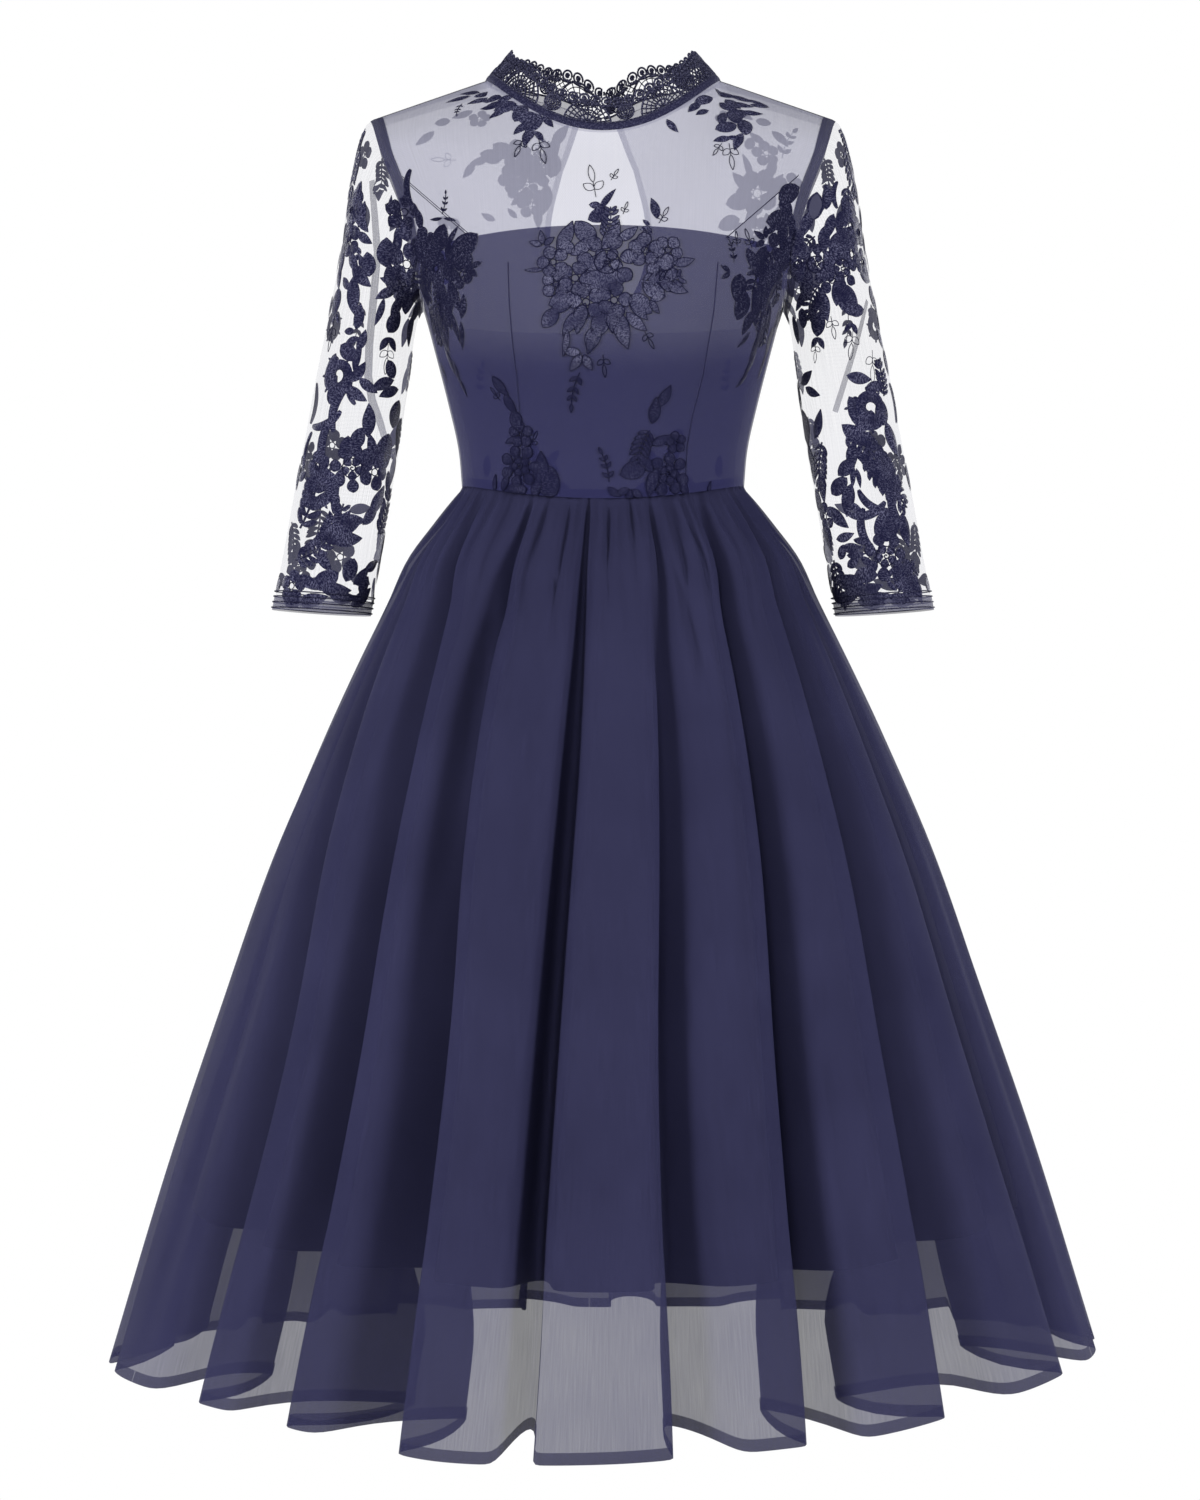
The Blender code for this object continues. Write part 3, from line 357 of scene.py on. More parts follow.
def stitched(name, dark, light, flecks):
    """Satin stitch: threads side by side across each leaf, with pale flecks of painted sheen
    highlight in its colour.
    """
    finish = Finish(name, dark, 0.55, 0.07)
    threads = finish.bands(0.00045, "X", distortion=0.6)
    speck = finish.noise((950.0, 420.0, 1.0), detail=3.0, rough=0.7)
    patch = finish.noise((70.0, 70.0, 70.0), "Object", detail=1.0)
    # Painted highlights: pale flecks of sheen painted into the base colour.
    painted_sheen = finish.span(speck, 0.60 - flecks * 0.2, 0.72 - flecks * 0.2)
    painted_sheen = finish.math("MULTIPLY", painted_sheen, finish.span(patch, 0.25, 0.65, 0.15, 1.0))
    finish.feed("Base Color", finish.blend(painted_sheen, dark, light))
    finish.feed("Roughness", finish.span(threads, 0.0, 1.0, 0.55, 0.38))
    finish.bump(finish.math("ADD", threads, speck), 0.00022)
    return finish.material


def corded(name, dark, light):
    """Twisted cord of guipure lace."""
    finish = Finish(name, dark, 0.6, 0.12, 0.05)
    twist = finish.diagonals(finish.coords.outputs["UV"], 0.0011)
    speck = finish.noise((600.0, 600.0, 1.0))
    finish.feed("Base Color", finish.blend(finish.span(speck, 0.46, 0.70), dark, light))
    finish.bump(finish.math("ADD", twist, finish.math("MULTIPLY", speck, 0.5)), 0.00025)
    return finish.material


CHIFFON = woven("chiffon_cloth", (0.031, 0.031, 0.079), (0.041, 0.041, 0.100), 0.0008, 0.85,
                alpha=0.775, specular=0.05)
LINING = woven("lining_cloth", (0.030, 0.030, 0.044), (0.037, 0.037, 0.054), 0.0006, 0.60,
               specular=0.12)
BODICE = woven("bodice_cloth", (0.032, 0.032, 0.098), (0.039, 0.039, 0.114), 0.0006, 0.60,
               alpha=0.755, drift=0.01, specular=0.10)
BODICE_EDGES = [woven("bodice_edge_%d" % number, (0.033, 0.033, 0.088), (0.040, 0.040, 0.104),
                      0.0006, 0.60, alpha=alpha, drift=0.01, specular=0.10)
                for number, alpha in enumerate((0.68, 0.54, 0.40, 0.26, 0.12))]
# The yoke's net is the same dark net as the cover net. Its pale colour is painted light: the glow
# of the backdrop's light shining through it.
YOKE_NET_PAINTED_BACKLIGHT = netting("yoke_net_painted_backlight", (0.410, 0.410, 0.515), 0.0013, 0.50, 0.60, 0.6)
# The edge net is the doubled net along the neck and shoulder, so it is denser. Its pale colour is
# a painted backlight glow, dimmer than the yoke's.
EDGE_NET_PAINTED_GLOW = netting("edge_net_painted_glow", (0.300, 0.300, 0.400), 0.0013, 0.66, 0.76, 0.6)
COVER_NET = netting("cover_net", (0.034, 0.034, 0.112), 0.0013, 0.54, 0.63, 0.6)
# The sleeves' net is a dark net. Its pale colour is painted light: the glow of the backdrop's
# light shining through it.
SLEEVE_NET_PAINTED_BACKLIGHT = netting("sleeve_net_painted_backlight", (0.380, 0.380, 0.500), 0.0016, 0.06, 0.165, 0.80)
BINDING = woven("net_binding", (0.090, 0.090, 0.160), (0.140, 0.140, 0.220), 0.0009, 0.80,
                alpha=0.60, drift=0.08, specular=0.1)
SEAM = woven("seam_tape", (0.020, 0.020, 0.055), (0.034, 0.034, 0.080), 0.0007, 0.75,
             alpha=0.88, specular=0.1)
# The second colour of each thread is the colour of its painted sheen highlights.
THREAD = stitched("embroidery_thread", (0.012, 0.012, 0.046), (0.165, 0.165, 0.270), 0.60)
DEEP_THREAD = stitched("armhole_thread", (0.010, 0.010, 0.036), (0.130, 0.130, 0.215), 0.42)
SOFT_THREAD = stitched("bouquet_thread", (0.026, 0.026, 0.072), (0.170, 0.170, 0.265), 0.80)
WAIST_THREAD = stitched("waist_thread", (0.015, 0.015, 0.052), (0.056, 0.056, 0.118), 0.65)
ARMHOLE_TAPE = woven("armhole_tape", (0.030, 0.030, 0.075), (0.060, 0.060, 0.115), 0.0007, 0.75,
                     alpha=0.84, drift=0.08, specular=0.1)
OUTLINE = stitched("outline_thread", (0.014, 0.014, 0.046), (0.060, 0.060, 0.110), 0.1)
REVERSE = stitched("embroidery_reverse", (0.085, 0.085, 0.145), (0.180, 0.180, 0.260), 0.1)
CORD = corded("guipure_cord", (0.012, 0.012, 0.038), (0.130, 0.130, 0.205))
TAPE = corded("collar_tape", (0.014, 0.014, 0.045), (0.060, 0.060, 0.115))
BUTTON = woven("button_cloth", (0.022, 0.022, 0.060), (0.034, 0.034, 0.085), 0.0005, 0.45, 0.2)

# ---------------------------------------------------------------- meshes and pieces


def make_piece(name, vertices, faces, uvs, material, slot, nodes=()):
    """A piece of the dress from plain lists; uvs has one place in metres for each vertex."""
    mesh = bpy.data.meshes.new(name)
    mesh.from_pydata([tuple(v) for v in vertices], [], [tuple(f) for f in faces])
    layer = mesh.uv_layers.new(name="cloth")
    corners = np.zeros(len(mesh.loops), dtype=np.int32)
    mesh.loops.foreach_get("vertex_index", corners)
    layer.data.foreach_set("uv", np.asarray(uvs, dtype=np.float32)[corners].ravel())
    mesh.materials.append(material)
    mesh.shade_smooth()
    mesh.update()
    obj = bpy.data.objects.new(name, mesh)
    bpy.context.scene.collection.objects.link(obj)
    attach(obj, "root")
    if nodes:
        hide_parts(*nodes)
    return obj


def grid_faces(rows, columns, start=0):
    """Quads of a grid whose first vertex has the number start."""
    faces = []
    for r in range(rows - 1):
        for c in range(columns - 1):
            a = start + r * columns + c
            faces.append((a, a + 1, a + columns + 1, a + columns))
    return faces


def run_lengths(points, axis):
    """Metres from the first point, along the rows (1) or down the columns (0) of a grid."""
    steps = np.linalg.norm(np.diff(points, axis=axis), axis=2)
    return np.concatenate((np.zeros_like(np.take(steps, [0], axis=axis)),
                           np.cumsum(steps, axis=axis)), axis=axis)


def grid_uvs(points):
    """Places in metres: along the widest row, and down the panel."""
    across = run_lengths(points, 1)
    u = np.tile(across[np.argmax(across[:, -1])], (points.shape[0], 1))
    return np.stack((u, run_lengths(points, 0)), axis=2).reshape(-1, 2)


def cut_of(points):
    """What a panel measures laid flat: greatest width, greatest length and area."""
    a, b, c, d = points[:-1, :-1], points[:-1, 1:], points[1:, 1:], points[1:, :-1]
    one = np.linalg.norm(np.cross(b - a, c - a), axis=2)
    two = np.linalg.norm(np.cross(c - a, d - a), axis=2)
    return (float(run_lengths(points, 1)[:, -1].max()), float(run_lengths(points, 0)[-1].max()),
            float((one + two).sum() / 2))


def make_panel(name, points, material, slot, nodes=()):
    """A piece from a grid of points."""
    return make_piece(name, points.reshape(-1, 3), grid_faces(*points.shape[:2]),
                      grid_uvs(points), material, slot, nodes)


def cloth(name, points, material, slot, nodes, held, with_pieces=(), zones=()):
    """One panel of cloth; the cut that its own rows measure is worked out but not kept.

    zones holds the first row and the material of each stretch that differs from the first."""
    obj = make_panel(name, points, material, slot, nodes)
    for _, other in zones:
        obj.data.materials.append(other)
    faces_a_row = points.shape[1] - 1
    for face in obj.data.polygons:
        face.material_index = sum(face.index // faces_a_row >= first for first, _ in zones)
    width, length, area = cut_of(points)
    round(min(area, width * length) * ROUNDED_DOWN, 5)
    list(with_pieces)


# ---------------------------------------------------------------- collar line

def closing_dip(degrees):
    """How far the closing at the back dips, at an angle round the neck."""
    away = 180.0 - abs(degrees)
    return CLOSING_DIP * math.exp(-(away / CLOSING_DIP_SPREAD) ** 2)


def oval_point(degrees, half_width, side_z, front, back, dip):
    """A point of one of the collar's ovals: 0 degrees in front, 90 on the wearer's left."""
    turn = math.radians(degrees)
    facing = math.cos(turn)
    reach, drop = front if facing >= 0 else back
    z = side_z - drop * facing ** 2
    if facing < 0:
        z -= dip * closing_dip(degrees)
    return np.array((half_width * math.sin(turn), NECK_SIDE_Y - reach * facing, z))


def neck_point(degrees):
    return oval_point(degrees, *NECK_OVAL)


def collar_top_point(degrees):
    return oval_point(degrees, *COLLAR_TOP_OVAL)


def collar_at(degrees, height, lift=0.0):
    """A point of the standing collar: height is metres up its slant, lift metres outwards."""
    base = neck_point(degrees)
    slant = unit(collar_top_point(degrees) - base)
    along = unit(neck_point(degrees + 0.5) - neck_point(degrees - 0.5))
    outward = unit(np.cross(along, slant))
    if outward[0] * base[0] + outward[1] * (base[1] - NECK_SIDE_Y) < 0:
        outward = -outward
    return base + slant * height + outward * lift


# ---------------------------------------------------------------- torso and sleeves

def section_angle(x, half_width, power):
    """The angle of a superellipse at which it is x wide."""
    return np.arcsin(np.minimum(x / half_width, 1.0) ** (power / 2))


def torso_column(table, level, across, start_x, out):
    """A point of one level: across is 0 at start_x, 0.5 at the seam and 1 at the edge."""
    half_width, depth, edge_x = (table.at(name, level) + out
                                 for name in ("half_width", "depth", "edge_x"))
    power = table.at("power", level)
    start, seam, edge = (section_angle(x, half_width, power)
                         for x in (start_x, table.at("seam_x", level), edge_x))
    if across <= 0.5:
        angle = mix(start, seam, across / 0.5)
    else:
        angle = mix(seam, edge, (across - 0.5) / 0.5)
    x = half_width * math.sin(angle) ** (2 / power)
    y = depth * max(math.cos(angle), 0.0) ** (2 / power)
    spread = min(x / edge_x, 1.0)
    z = mix(table.at("z_mid", level), table.at("z_side", level), spread ** 2)
    return np.array((x, y, z))


def shoulder_row_point(across, start_x, back):
    """A point of the top row: along the neckline, then out along the shoulder seam."""
    if across > 0.5:
        return mix(neck_point(90.0), SHOULDER_TIP, (across - 0.5) / 0.5)
    low = math.degrees(math.asin(start_x / NECK_HALF_WIDTH))
    degrees = mix(low, 90.0, across / 0.5)
    return neck_point(180.0 - degrees if back else degrees)


def torso_point(level, across, back=False, out=0.0, start_x=0.0):
    """A point of the torso's left half: from its levels, and above them on a curve to the neck."""
    table = TORSO_BACK if back else TORSO_FRONT
    facing = np.array((1.0, 1.0 if back else -1.0, 1.0))
    if level <= YOKE_LEVEL:
        return torso_column(table, level, across, start_x, out) * facing
    low, below = (torso_column(table, at, across, start_x, out) * facing
                  for at in (YOKE_LEVEL, YOKE_LEVEL - 1))
    high = shoulder_row_point(across, start_x, back)
    leave = unit(low - below) * np.linalg.norm(high - low) * CHEST_PULL
    land = (high - low) * np.array((1.0, 1.0, SHOULDER_FALL))
    return smooth_path((level - YOKE_LEVEL) / (NECK_LEVEL - YOKE_LEVEL), low, leave, high, land)


def keyhole_edge(level, side):
    """How far the edge of the keyhole stands from the middle: side is 1 left, -1 right."""
    half = max(float(KEYHOLE.at("half_width", level)), 0.0)
    return max(half - side * KEYHOLE_SHIFT * float(smoothstep(0.004, 0.016, half)), 0.0)


def torso_rows(levels, across, back=False, out=0.0, keyhole=0):
    """Rows of the torso's left half; keyhole is the side whose half of the keyhole is cut out."""
    rows = []
    for level in levels:
        start_x = keyhole_edge(level, keyhole) if keyhole else 0.0
        row = [torso_point(level, share, back, out, start_x) for share in across]
        if level <= UNDERARM_LEVEL and across[-1] == 1.0:
            row[-1][1] = 0.0
        rows.append(row)
    return np.array(rows)


def flipped(rows):
    """The same panel on the wearer's right, with its columns in reverse order."""
    return rows[:, ::-1] * np.array((-1.0, 1.0, 1.0))


def both_halves(left):
    """A whole panel from its left half."""
    return np.concatenate((flipped(left)[:, :-1], left), axis=1)


def sleeve_ring_point(ring, turn):
    """A point of the plain sleeve, before its head is sewn to the armhole."""
    outer, inner = (np.array((SLEEVE.at(edge + "_x", ring), 0.0, SLEEVE.at(edge + "_z", ring)))
                    for edge in ("outer", "inner"))
    turn = math.radians(turn)
    point = (outer + inner) / 2 + (outer - inner) / 2 * math.cos(turn)
    point[1] = SLEEVE.at("middle_y", ring) - SLEEVE.at("half_depth", ring) * math.sin(turn)
    return point


def armhole_point(level, back):
    """A point of the left armhole, midway between front and back from the underarm down."""
    point = torso_point(level, 1.0, back, out=NET_OUT)
    if level <= UNDERARM_LEVEL:
        point[1] = 0.0
    return point


FRONT_ARMHOLE = [armhole_point(level, False) for level in ARMHOLE_LEVELS]
ARMHOLE_RUN = np.concatenate(((0.0,), np.cumsum(
    [np.linalg.norm(b - a) for a, b in zip(FRONT_ARMHOLE, FRONT_ARMHOLE[1:])])))
ARMHOLE_TURNS = 180.0 * ARMHOLE_RUN / ARMHOLE_RUN[-1]


def sleeve_point(ring, turn):
    """The wearer's left sleeve; turn is 0 outermost, 90 in front, 180 innermost, -90 behind."""
    level = float(np.interp(abs(turn), ARMHOLE_TURNS, ARMHOLE_LEVELS))
    edge = armhole_point(level, turn < 0)
    hold = 1.0 - float(smoothstep(0.0, SLEEVE_HEAD_RINGS, ring))
    under = (1 - math.cos(math.radians(turn))) / 2
    offset = mix(SLEEVE_SEAM_TOP, SLEEVE_SEAM_UNDER, under)
    return sleeve_ring_point(ring, turn) + (edge - sleeve_ring_point(0, turn) + offset) * hold


# ---------------------------------------------------------------- skirt

def back_folds():
    """Folds of the back, made a little uneven by sines of their number."""
    folds = []
    for k in range(1, BACK_LOBES):
        share = k / BACK_LOBES
        sway = BACK_FOLD_SWAY * math.sin(2.4 * k)
        angles = [mix(start, end + 360.0, share) + sway
                  for start, end in zip(LEFT_SEAM_FOLD[:4], RIGHT_SEAM_FOLD[:4])]
        width = BACK_FOLD_WIDTH * (1 + 0.18 * math.sin(1.7 * k))
        folds.append((*angles, width, 0.92 + 0.12 * math.cos(2.9 * k)))
    return folds


TURNED = tuple(angle + 360.0 for angle in RIGHT_SEAM_FOLD[:4]) + RIGHT_SEAM_FOLD[4:]
FOLDS = [RIGHT_SEAM_FOLD, *FRONT_FOLDS, LEFT_SEAM_FOLD, *back_folds(), TURNED]
PATHS = [Table(("z", "angle"), tuple(zip(FOLD_HEIGHTS, fold[:4]))) for fold in FOLDS]
FIRST_BACK_LOBE = len(FRONT_FOLDS) + 1
LAST_LOBE = len(FOLDS) - 2
MIDDLE_BACK_LOBE = FIRST_BACK_LOBE + BACK_LOBES // 2
LEFT_SEAM_LOBE = len(FRONT_FOLDS)
SEAM_LOBES = (0, LEFT_SEAM_LOBE, MIDDLE_BACK_LOBE)

# Creases of the chiffon: where each starts and ends in degrees and height, its half width, and
# how far it dents the cloth (below zero it stands out as a ridge).
CREASES = (
    (20.0, -0.345, 25.0, -0.500, 0.0045, 0.0040),
    (28.0, -0.400, 17.5, -0.760, 0.0100, -0.0045),
    (17.0, -0.520, 16.0, -0.980, 0.0140, 0.0050),
    (5.0, -0.340, 7.0, -0.450, 0.0040, 0.0030),
    (-15.0, -0.360, -16.0, -0.700, 0.0090, 0.0040),
    (-14.0, -0.640, -17.5, -1.000, 0.0160, -0.0050),
    (-33.0, -0.370, -30.0, -0.640, 0.0070, 0.0045),
    (-31.0, -0.600, -31.5, -0.990, 0.0140, 0.0045),
    (-48.0, -0.400, -44.0, -0.800, 0.0090, 0.0040),
    (1.0, -0.560, 0.5, -0.900, 0.0200, -0.0040),
    (3.0, -0.700, 1.5, -1.040, 0.0180, 0.0040),
    (34.0, -0.370, 30.0, -0.600, 0.0070, 0.0040),
    (33.0, -0.620, 32.0, -1.020, 0.0170, 0.0045),
    (56.0, -0.380, 48.0, -0.700, 0.0080, 0.0040),
    (54.0, -0.660, 54.0, -1.030, 0.0200, 0.0050),
    (-64.0, -0.640, -66.0, -1.030, 0.0180, 0.0050),
    (74.0, -0.600, 75.0, -1.030, 0.0150, 0.0040),
    (110.0, -0.400, 104.0, -0.900, 0.0120, 0.0045),
    (142.0, -0.450, 138.0, -1.000, 0.0160, 0.0045),
    (171.0, -0.380, 174.0, -0.760, 0.0110, 0.0045),
    (196.0, -0.560, 193.0, -1.020, 0.0170, 0.0050),
    (221.0, -0.400, 224.0, -0.850, 0.0120, 0.0040),
    (246.0, -0.500, 250.0, -1.000, 0.0160, 0.0050),
)


# How the floor of each fold runs on under the lobe beside it, in metres: towards the wearer's
# left if above zero, at the thigh and at the hem; how far it spreads under both lobes; how much
# deeper the finished fold is than the solid's; how much wider its open side is.
LEANS = (
    (0.008, 0.012, 0.000, 1.30, 1.3),     # right side seam
    (0.022, 0.036, 0.000, 1.60, 2.4),
    (0.026, 0.088, 0.000, 2.00, 1.5),
    (0.028, 0.054, 0.000, 1.75, 1.5),
    (0.000, 0.004, 0.004, 1.25, 1.0),
    (-0.012, -0.022, 0.003, 1.20, 1.3),
    (-0.015, -0.030, 0.000, 1.55, 1.5),
    (-0.027, -0.084, 0.000, 1.45, 2.4),
    (-0.016, -0.034, 0.000, 2.10, 1.6),
    (-0.008, -0.012, 0.000, 1.30, 1.3),   # left side seam
    (-0.022, -0.050, 0.000, 1.40, 1.6),
    (-0.026, -0.036, 0.000, 1.40, 1.5),
    (-0.020, -0.062, 0.000, 1.40, 1.6),
    (-0.026, -0.030, 0.000, 1.40, 1.4),
    (-0.022, -0.046, 0.000, 1.40, 1.6),
    (0.000, 0.002, 0.016, 1.20, 1.0),
    (0.022, 0.034, 0.000, 1.40, 1.5),
    (0.026, 0.058, 0.000, 1.40, 1.6),
    (0.020, 0.030, 0.000, 1.40, 1.4),
    (0.027, 0.048, 0.000, 1.40, 1.6),
    (0.022, 0.040, 0.000, 1.40, 1.5),
    (0.018, 0.030, 0.000, 1.40, 1.5),
    (0.008, 0.012, 0.000, 1.30, 1.3),
)
LEAN_TOP_Z = -0.3600
LEAN_FULL_Z = -0.5600
TUCK_TOP_Z = -0.8800
TUCK_FULL_Z = -0.9900


def fold_lean(fold, z):
    """How far a fold's floor leans and spreads at a height."""
    thigh, hem, spread = LEANS[fold][:3]
    grown = float(smoothstep(-LEAN_TOP_Z, -LEAN_FULL_Z, -z))
    tucked = float(smoothstep(-TUCK_TOP_Z, -TUCK_FULL_Z, -z))
    return mix(thigh * grown, hem, tucked), spread * grown


def leaned(distance, width, lean, spread):
    """Where a point goes that lies at a distance from its fold, once the fold has leaned."""
    u = distance / width
    hollow = np.exp(-u ** 2)
    sign = 1.0 if lean >= 0 else -1.0
    probe = np.linspace(0.5, 3.0, 60)
    lip = float(np.min(probe * width + abs(lean) * np.exp(-probe ** 2)))
    recoil = sign * max(lip - LIP_ROOM * width, 0.0)
    return (distance + (lean + SPREAD_GAIN * spread * u) * hollow
            - recoil * np.exp(-(u / RECOIL_REACH) ** 2))


def fold_half_width(fold, z):
    """Half the width of a fold, which grows from the waist to the hem."""
    grown = (z - WAIST_SIDE_Z) / (FOLD_HEIGHTS[-1] - WAIST_SIDE_Z)
    return FOLDS[fold][4] * mix(FOLD_AT_WAIST, 1.0, grown)


def skirt_height(fall, lining):
    """The height at the sides of a row: fall is 0 at the waist and 1 at the hem."""
    return mix(WAIST_SIDE_Z, LINING_HEM_SIDE_Z if lining else CHIFFON_LENGTH_Z, fall)


def creased(degrees, z, half_width):
    """How far the creases dent the chiffon along a row."""
    dent = np.zeros_like(degrees)
    for top, high, bottom, low, width, depth in CREASES:
        if low < z < high:
            t = (high - z) / (high - low)
            away = np.radians(degrees - mix(top, bottom, t)) * half_width
            spread = width * mix(*CREASE_TAPER, t)
            dent += depth * math.sin(math.pi * t) ** 0.7 * np.exp(-(away / spread) ** 2)
    return dent


def skirt_lobe(lobe, shares, fall, lining):
    """One lobe's points along a row of the chiffon or the lining."""
    z = skirt_height(fall, lining)
    extra = LINING_FOLD_EASE * float(smoothstep(0.0, LINING_EASE_FALL, fall)) if lining else 0.0
    left, right = (float(PATHS[fold].at("angle", z)) for fold in (lobe, lobe + 1))
    half_width = float(SKIRT.at("half_width", z))
    metres = math.radians(right - left) * half_width * GIRTH
    fold_depth = float(SKIRT.at("fold_depth", z))
    inset = fold_depth * LOBE_ROUNDING * (2 * shares - 1) ** 2
    valley = np.zeros_like(shares)
    places = shares * metres
    for fold, distance in ((lobe, shares * metres), (lobe + 1, (shares - 1) * metres)):
        width = fold_half_width(fold, z) + extra
        lean, spread = fold_lean(fold, z)
        deeper, wider = LEANS[fold][3:]
        open_side = distance * LEANS[fold][0] < 0
        reach = width * (1 + (wider - 1) * open_side * min(abs(lean) / LEAN_OPENS, 1.0))
        hollow = np.exp(-(distance / reach) ** 2)
        inset = inset + fold_depth * deeper * FOLDS[fold][5] * hollow
        places = places + leaned(distance, width, lean, spread) - distance
        sharp = 1.0 + 2.0 * (distance * lean > 0) * min(abs(lean) / LEAN_SHARPENS, 1.0)
        valley = np.maximum(valley, hollow ** sharp)
    degrees = left + np.degrees(places / half_width / GIRTH)
    turn = np.radians(degrees)
    facing = np.cos(turn)
    front = facing >= 0
    if lining:
        inset = (inset + SKIRT.at("lining_inset", z)
                 + SKIRT.at("lining_side", z) * np.sin(turn) ** 4)
        hem_drop = LINING_HEM_FRONT_DROP * facing ** 2
    else:
        gathers = 2 if lobe >= FIRST_BACK_LOBE and lobe not in SEAM_LOBES else 3
        inset = inset + gather_waves(lobe, shares * gathers, z)
        inset = inset + creased(degrees, z, half_width)
        heading = np.degrees(np.arctan2(np.sin(turn), facing))
        hem_drop = CHIFFON_LENGTH_Z - HEM.at("z", heading) - HEM_VALLEY_LIFT * valley
    gained = half_width - WAIST_HALF_WIDTH
    depth = np.where(front, WAIST_FRONT_DEPTH + gained * FRONT_DEPTH_RATE,
                     WAIST_BACK_DEPTH + gained * BACK_DEPTH_RATE)
    waist_drop = np.where(front, WAIST_FRONT_DROP, WAIST_BACK_DROP) * facing ** 2
    drop = mix(waist_drop + WAIST_GAP, hem_drop, fall)
    return np.stack(((half_width - inset) * np.sin(turn), -(depth - inset) * facing, z - drop),
                    axis=1)


def gather_waves(lobe, places, z):
    """Puffs between the gathers: round outwards, creased inwards, each fading at its own depth.

    Sines of a gather's number stand in for chance."""
    number = np.floor(places - 1e-9)
    lean = 0.5 + 0.32 * np.sin(number * 2.1 + lobe * 1.3)
    size = 0.85 + 0.40 * np.sin(number * 3.7 + lobe * 2.3)
    reach = -0.40 - 0.09 * np.sin(number * 5.3 + lobe * 3.1)
    fade = smoothstep(reach - 0.09, reach + 0.03, z)
    within = places - number
    bent = np.where(within < lean, 0.5 * within / lean, 0.5 + 0.5 * (within - lean) / (1 - lean))
    puff = (1 - np.abs(np.sin(np.pi * bent)) ** 0.7) * mix(0.25, 1.0, fade)
    fine = (0.5 - 0.5 * np.cos(2 * np.pi * places * 2 + lobe)) * float(
        smoothstep(FINE_GATHERS_END_Z, FINE_GATHERS_FULL_Z, z))
    room = float(SKIRT.at("lining_inset", z)) - 0.0010
    depth = float(SKIRT.at("gather_depth", z))
    return np.minimum(depth * (size * puff * PUFF_SHARE + FINE_SHARE * fine), room)


def skirt_rows(first, last, falls, lining, per_lobe):
    """Rows of a panel, from the middle of its first lobe to the middle of its last."""
    rows = []
    even = np.linspace(0.0, 1.0, per_lobe + 1)
    half = per_lobe // 2
    for fall in falls:
        settled = float(smoothstep(WAIST_SIDE_Z, SETTLE_Z, skirt_height(fall, lining)))
        shares = even - CROWDING * settled * np.sin(2 * np.pi * even) / (2 * np.pi)
        row = []
        for turn in range(first, last + 1):
            points = skirt_lobe(turn % (LAST_LOBE + 1), shares, fall, lining)
            row.extend(points[half if turn == first else 0:half + 1 if turn == last else per_lobe])
        rows.append(row)
    return np.array(rows)


def level_units(vectors):
    """The same directions laid level, one metre long."""
    level = vectors * np.array((1.0, 1.0, 0.0))
    return level / np.maximum(np.linalg.norm(level, axis=-1, keepdims=True), 1e-6)


def seamed(rows):
    """A panel whose two side edges dip into their seams."""
    rows = rows.copy()
    for edge in (0, -1):
        rows[:, edge] -= level_units(rows[:, edge]) * SEAM_DIP
    return rows


def turned_hem(rows, height, inside):
    """Adds a hem to the last row: the cloth turns in and runs back up by height."""
    last = rows[-1]
    outward = level_units(last - last.mean(axis=0)) * inside
    up = rows[-4] - last
    up /= np.linalg.norm(up, axis=1)[:, None]
    turned = [last - outward + up * height * t for t in (0.02, 0.5, 1.0)]
    return np.concatenate((rows, [last - outward * 0.5 - up * inside * 0.6, *turned]), axis=0)


def tucked_top(rows):
    """The seam allowance of a skirt panel, turned up inside the bodice at the waist."""
    seam = rows[0] + np.array((0.0, 0.0, WAIST_GAP + TUCK_GAP))
    allowance = seam - level_units(rows[0]) * TUCK_IN + np.array((0.0, 0.0, TUCK_UP))
    return np.concatenate(([allowance, seam], rows[1:]), axis=0)


SPANS = (
    ("front", 0, LEFT_SEAM_LOBE),
    ("back_left", LEFT_SEAM_LOBE, MIDDLE_BACK_LOBE),
    ("back_right", MIDDLE_BACK_LOBE, LAST_LOBE + 1),
)


# The skirt's layers: name, slot, material, whether it is the lining, how it is held, rows below
# the gathers, points a lobe, and the height and thickness of the turned hem.
LAYERS = (
    ("skirt_", "chiffon", CHIFFON, False, "gathered", 40, 30, (0.0085, 0.0009)),
    ("lining_", "lining", LINING, True, "hung", 20, 18, (0.0120, 0.0012)),
)


def make_skirt():
    """The panels of the chiffon and the lining, from the seam at the waist to the hems."""
    upper = np.linspace(0.0, 1.0, GATHERS_ROWS) ** GATHERS_CROWDING * GATHERS_FALL
    for span, first, last in SPANS:
        for prefix, slot, material, lining, held, count, per_lobe, hem in LAYERS:
            falls = np.concatenate((upper, np.linspace(GATHERS_FALL, 1.0, count)[1:]))
            rows = tucked_top(skirt_rows(first, last, falls, lining, per_lobe))
            cloth(prefix + span, turned_hem(rows, *hem), material, slot,
                  ["skirt_%s_%s" % (slot, span)], held)


# ---------------------------------------------------------------- bodice, yoke and sleeves

FIRST_FADING_ROW = 18          # of the bodice's back, which thins out towards its top edge


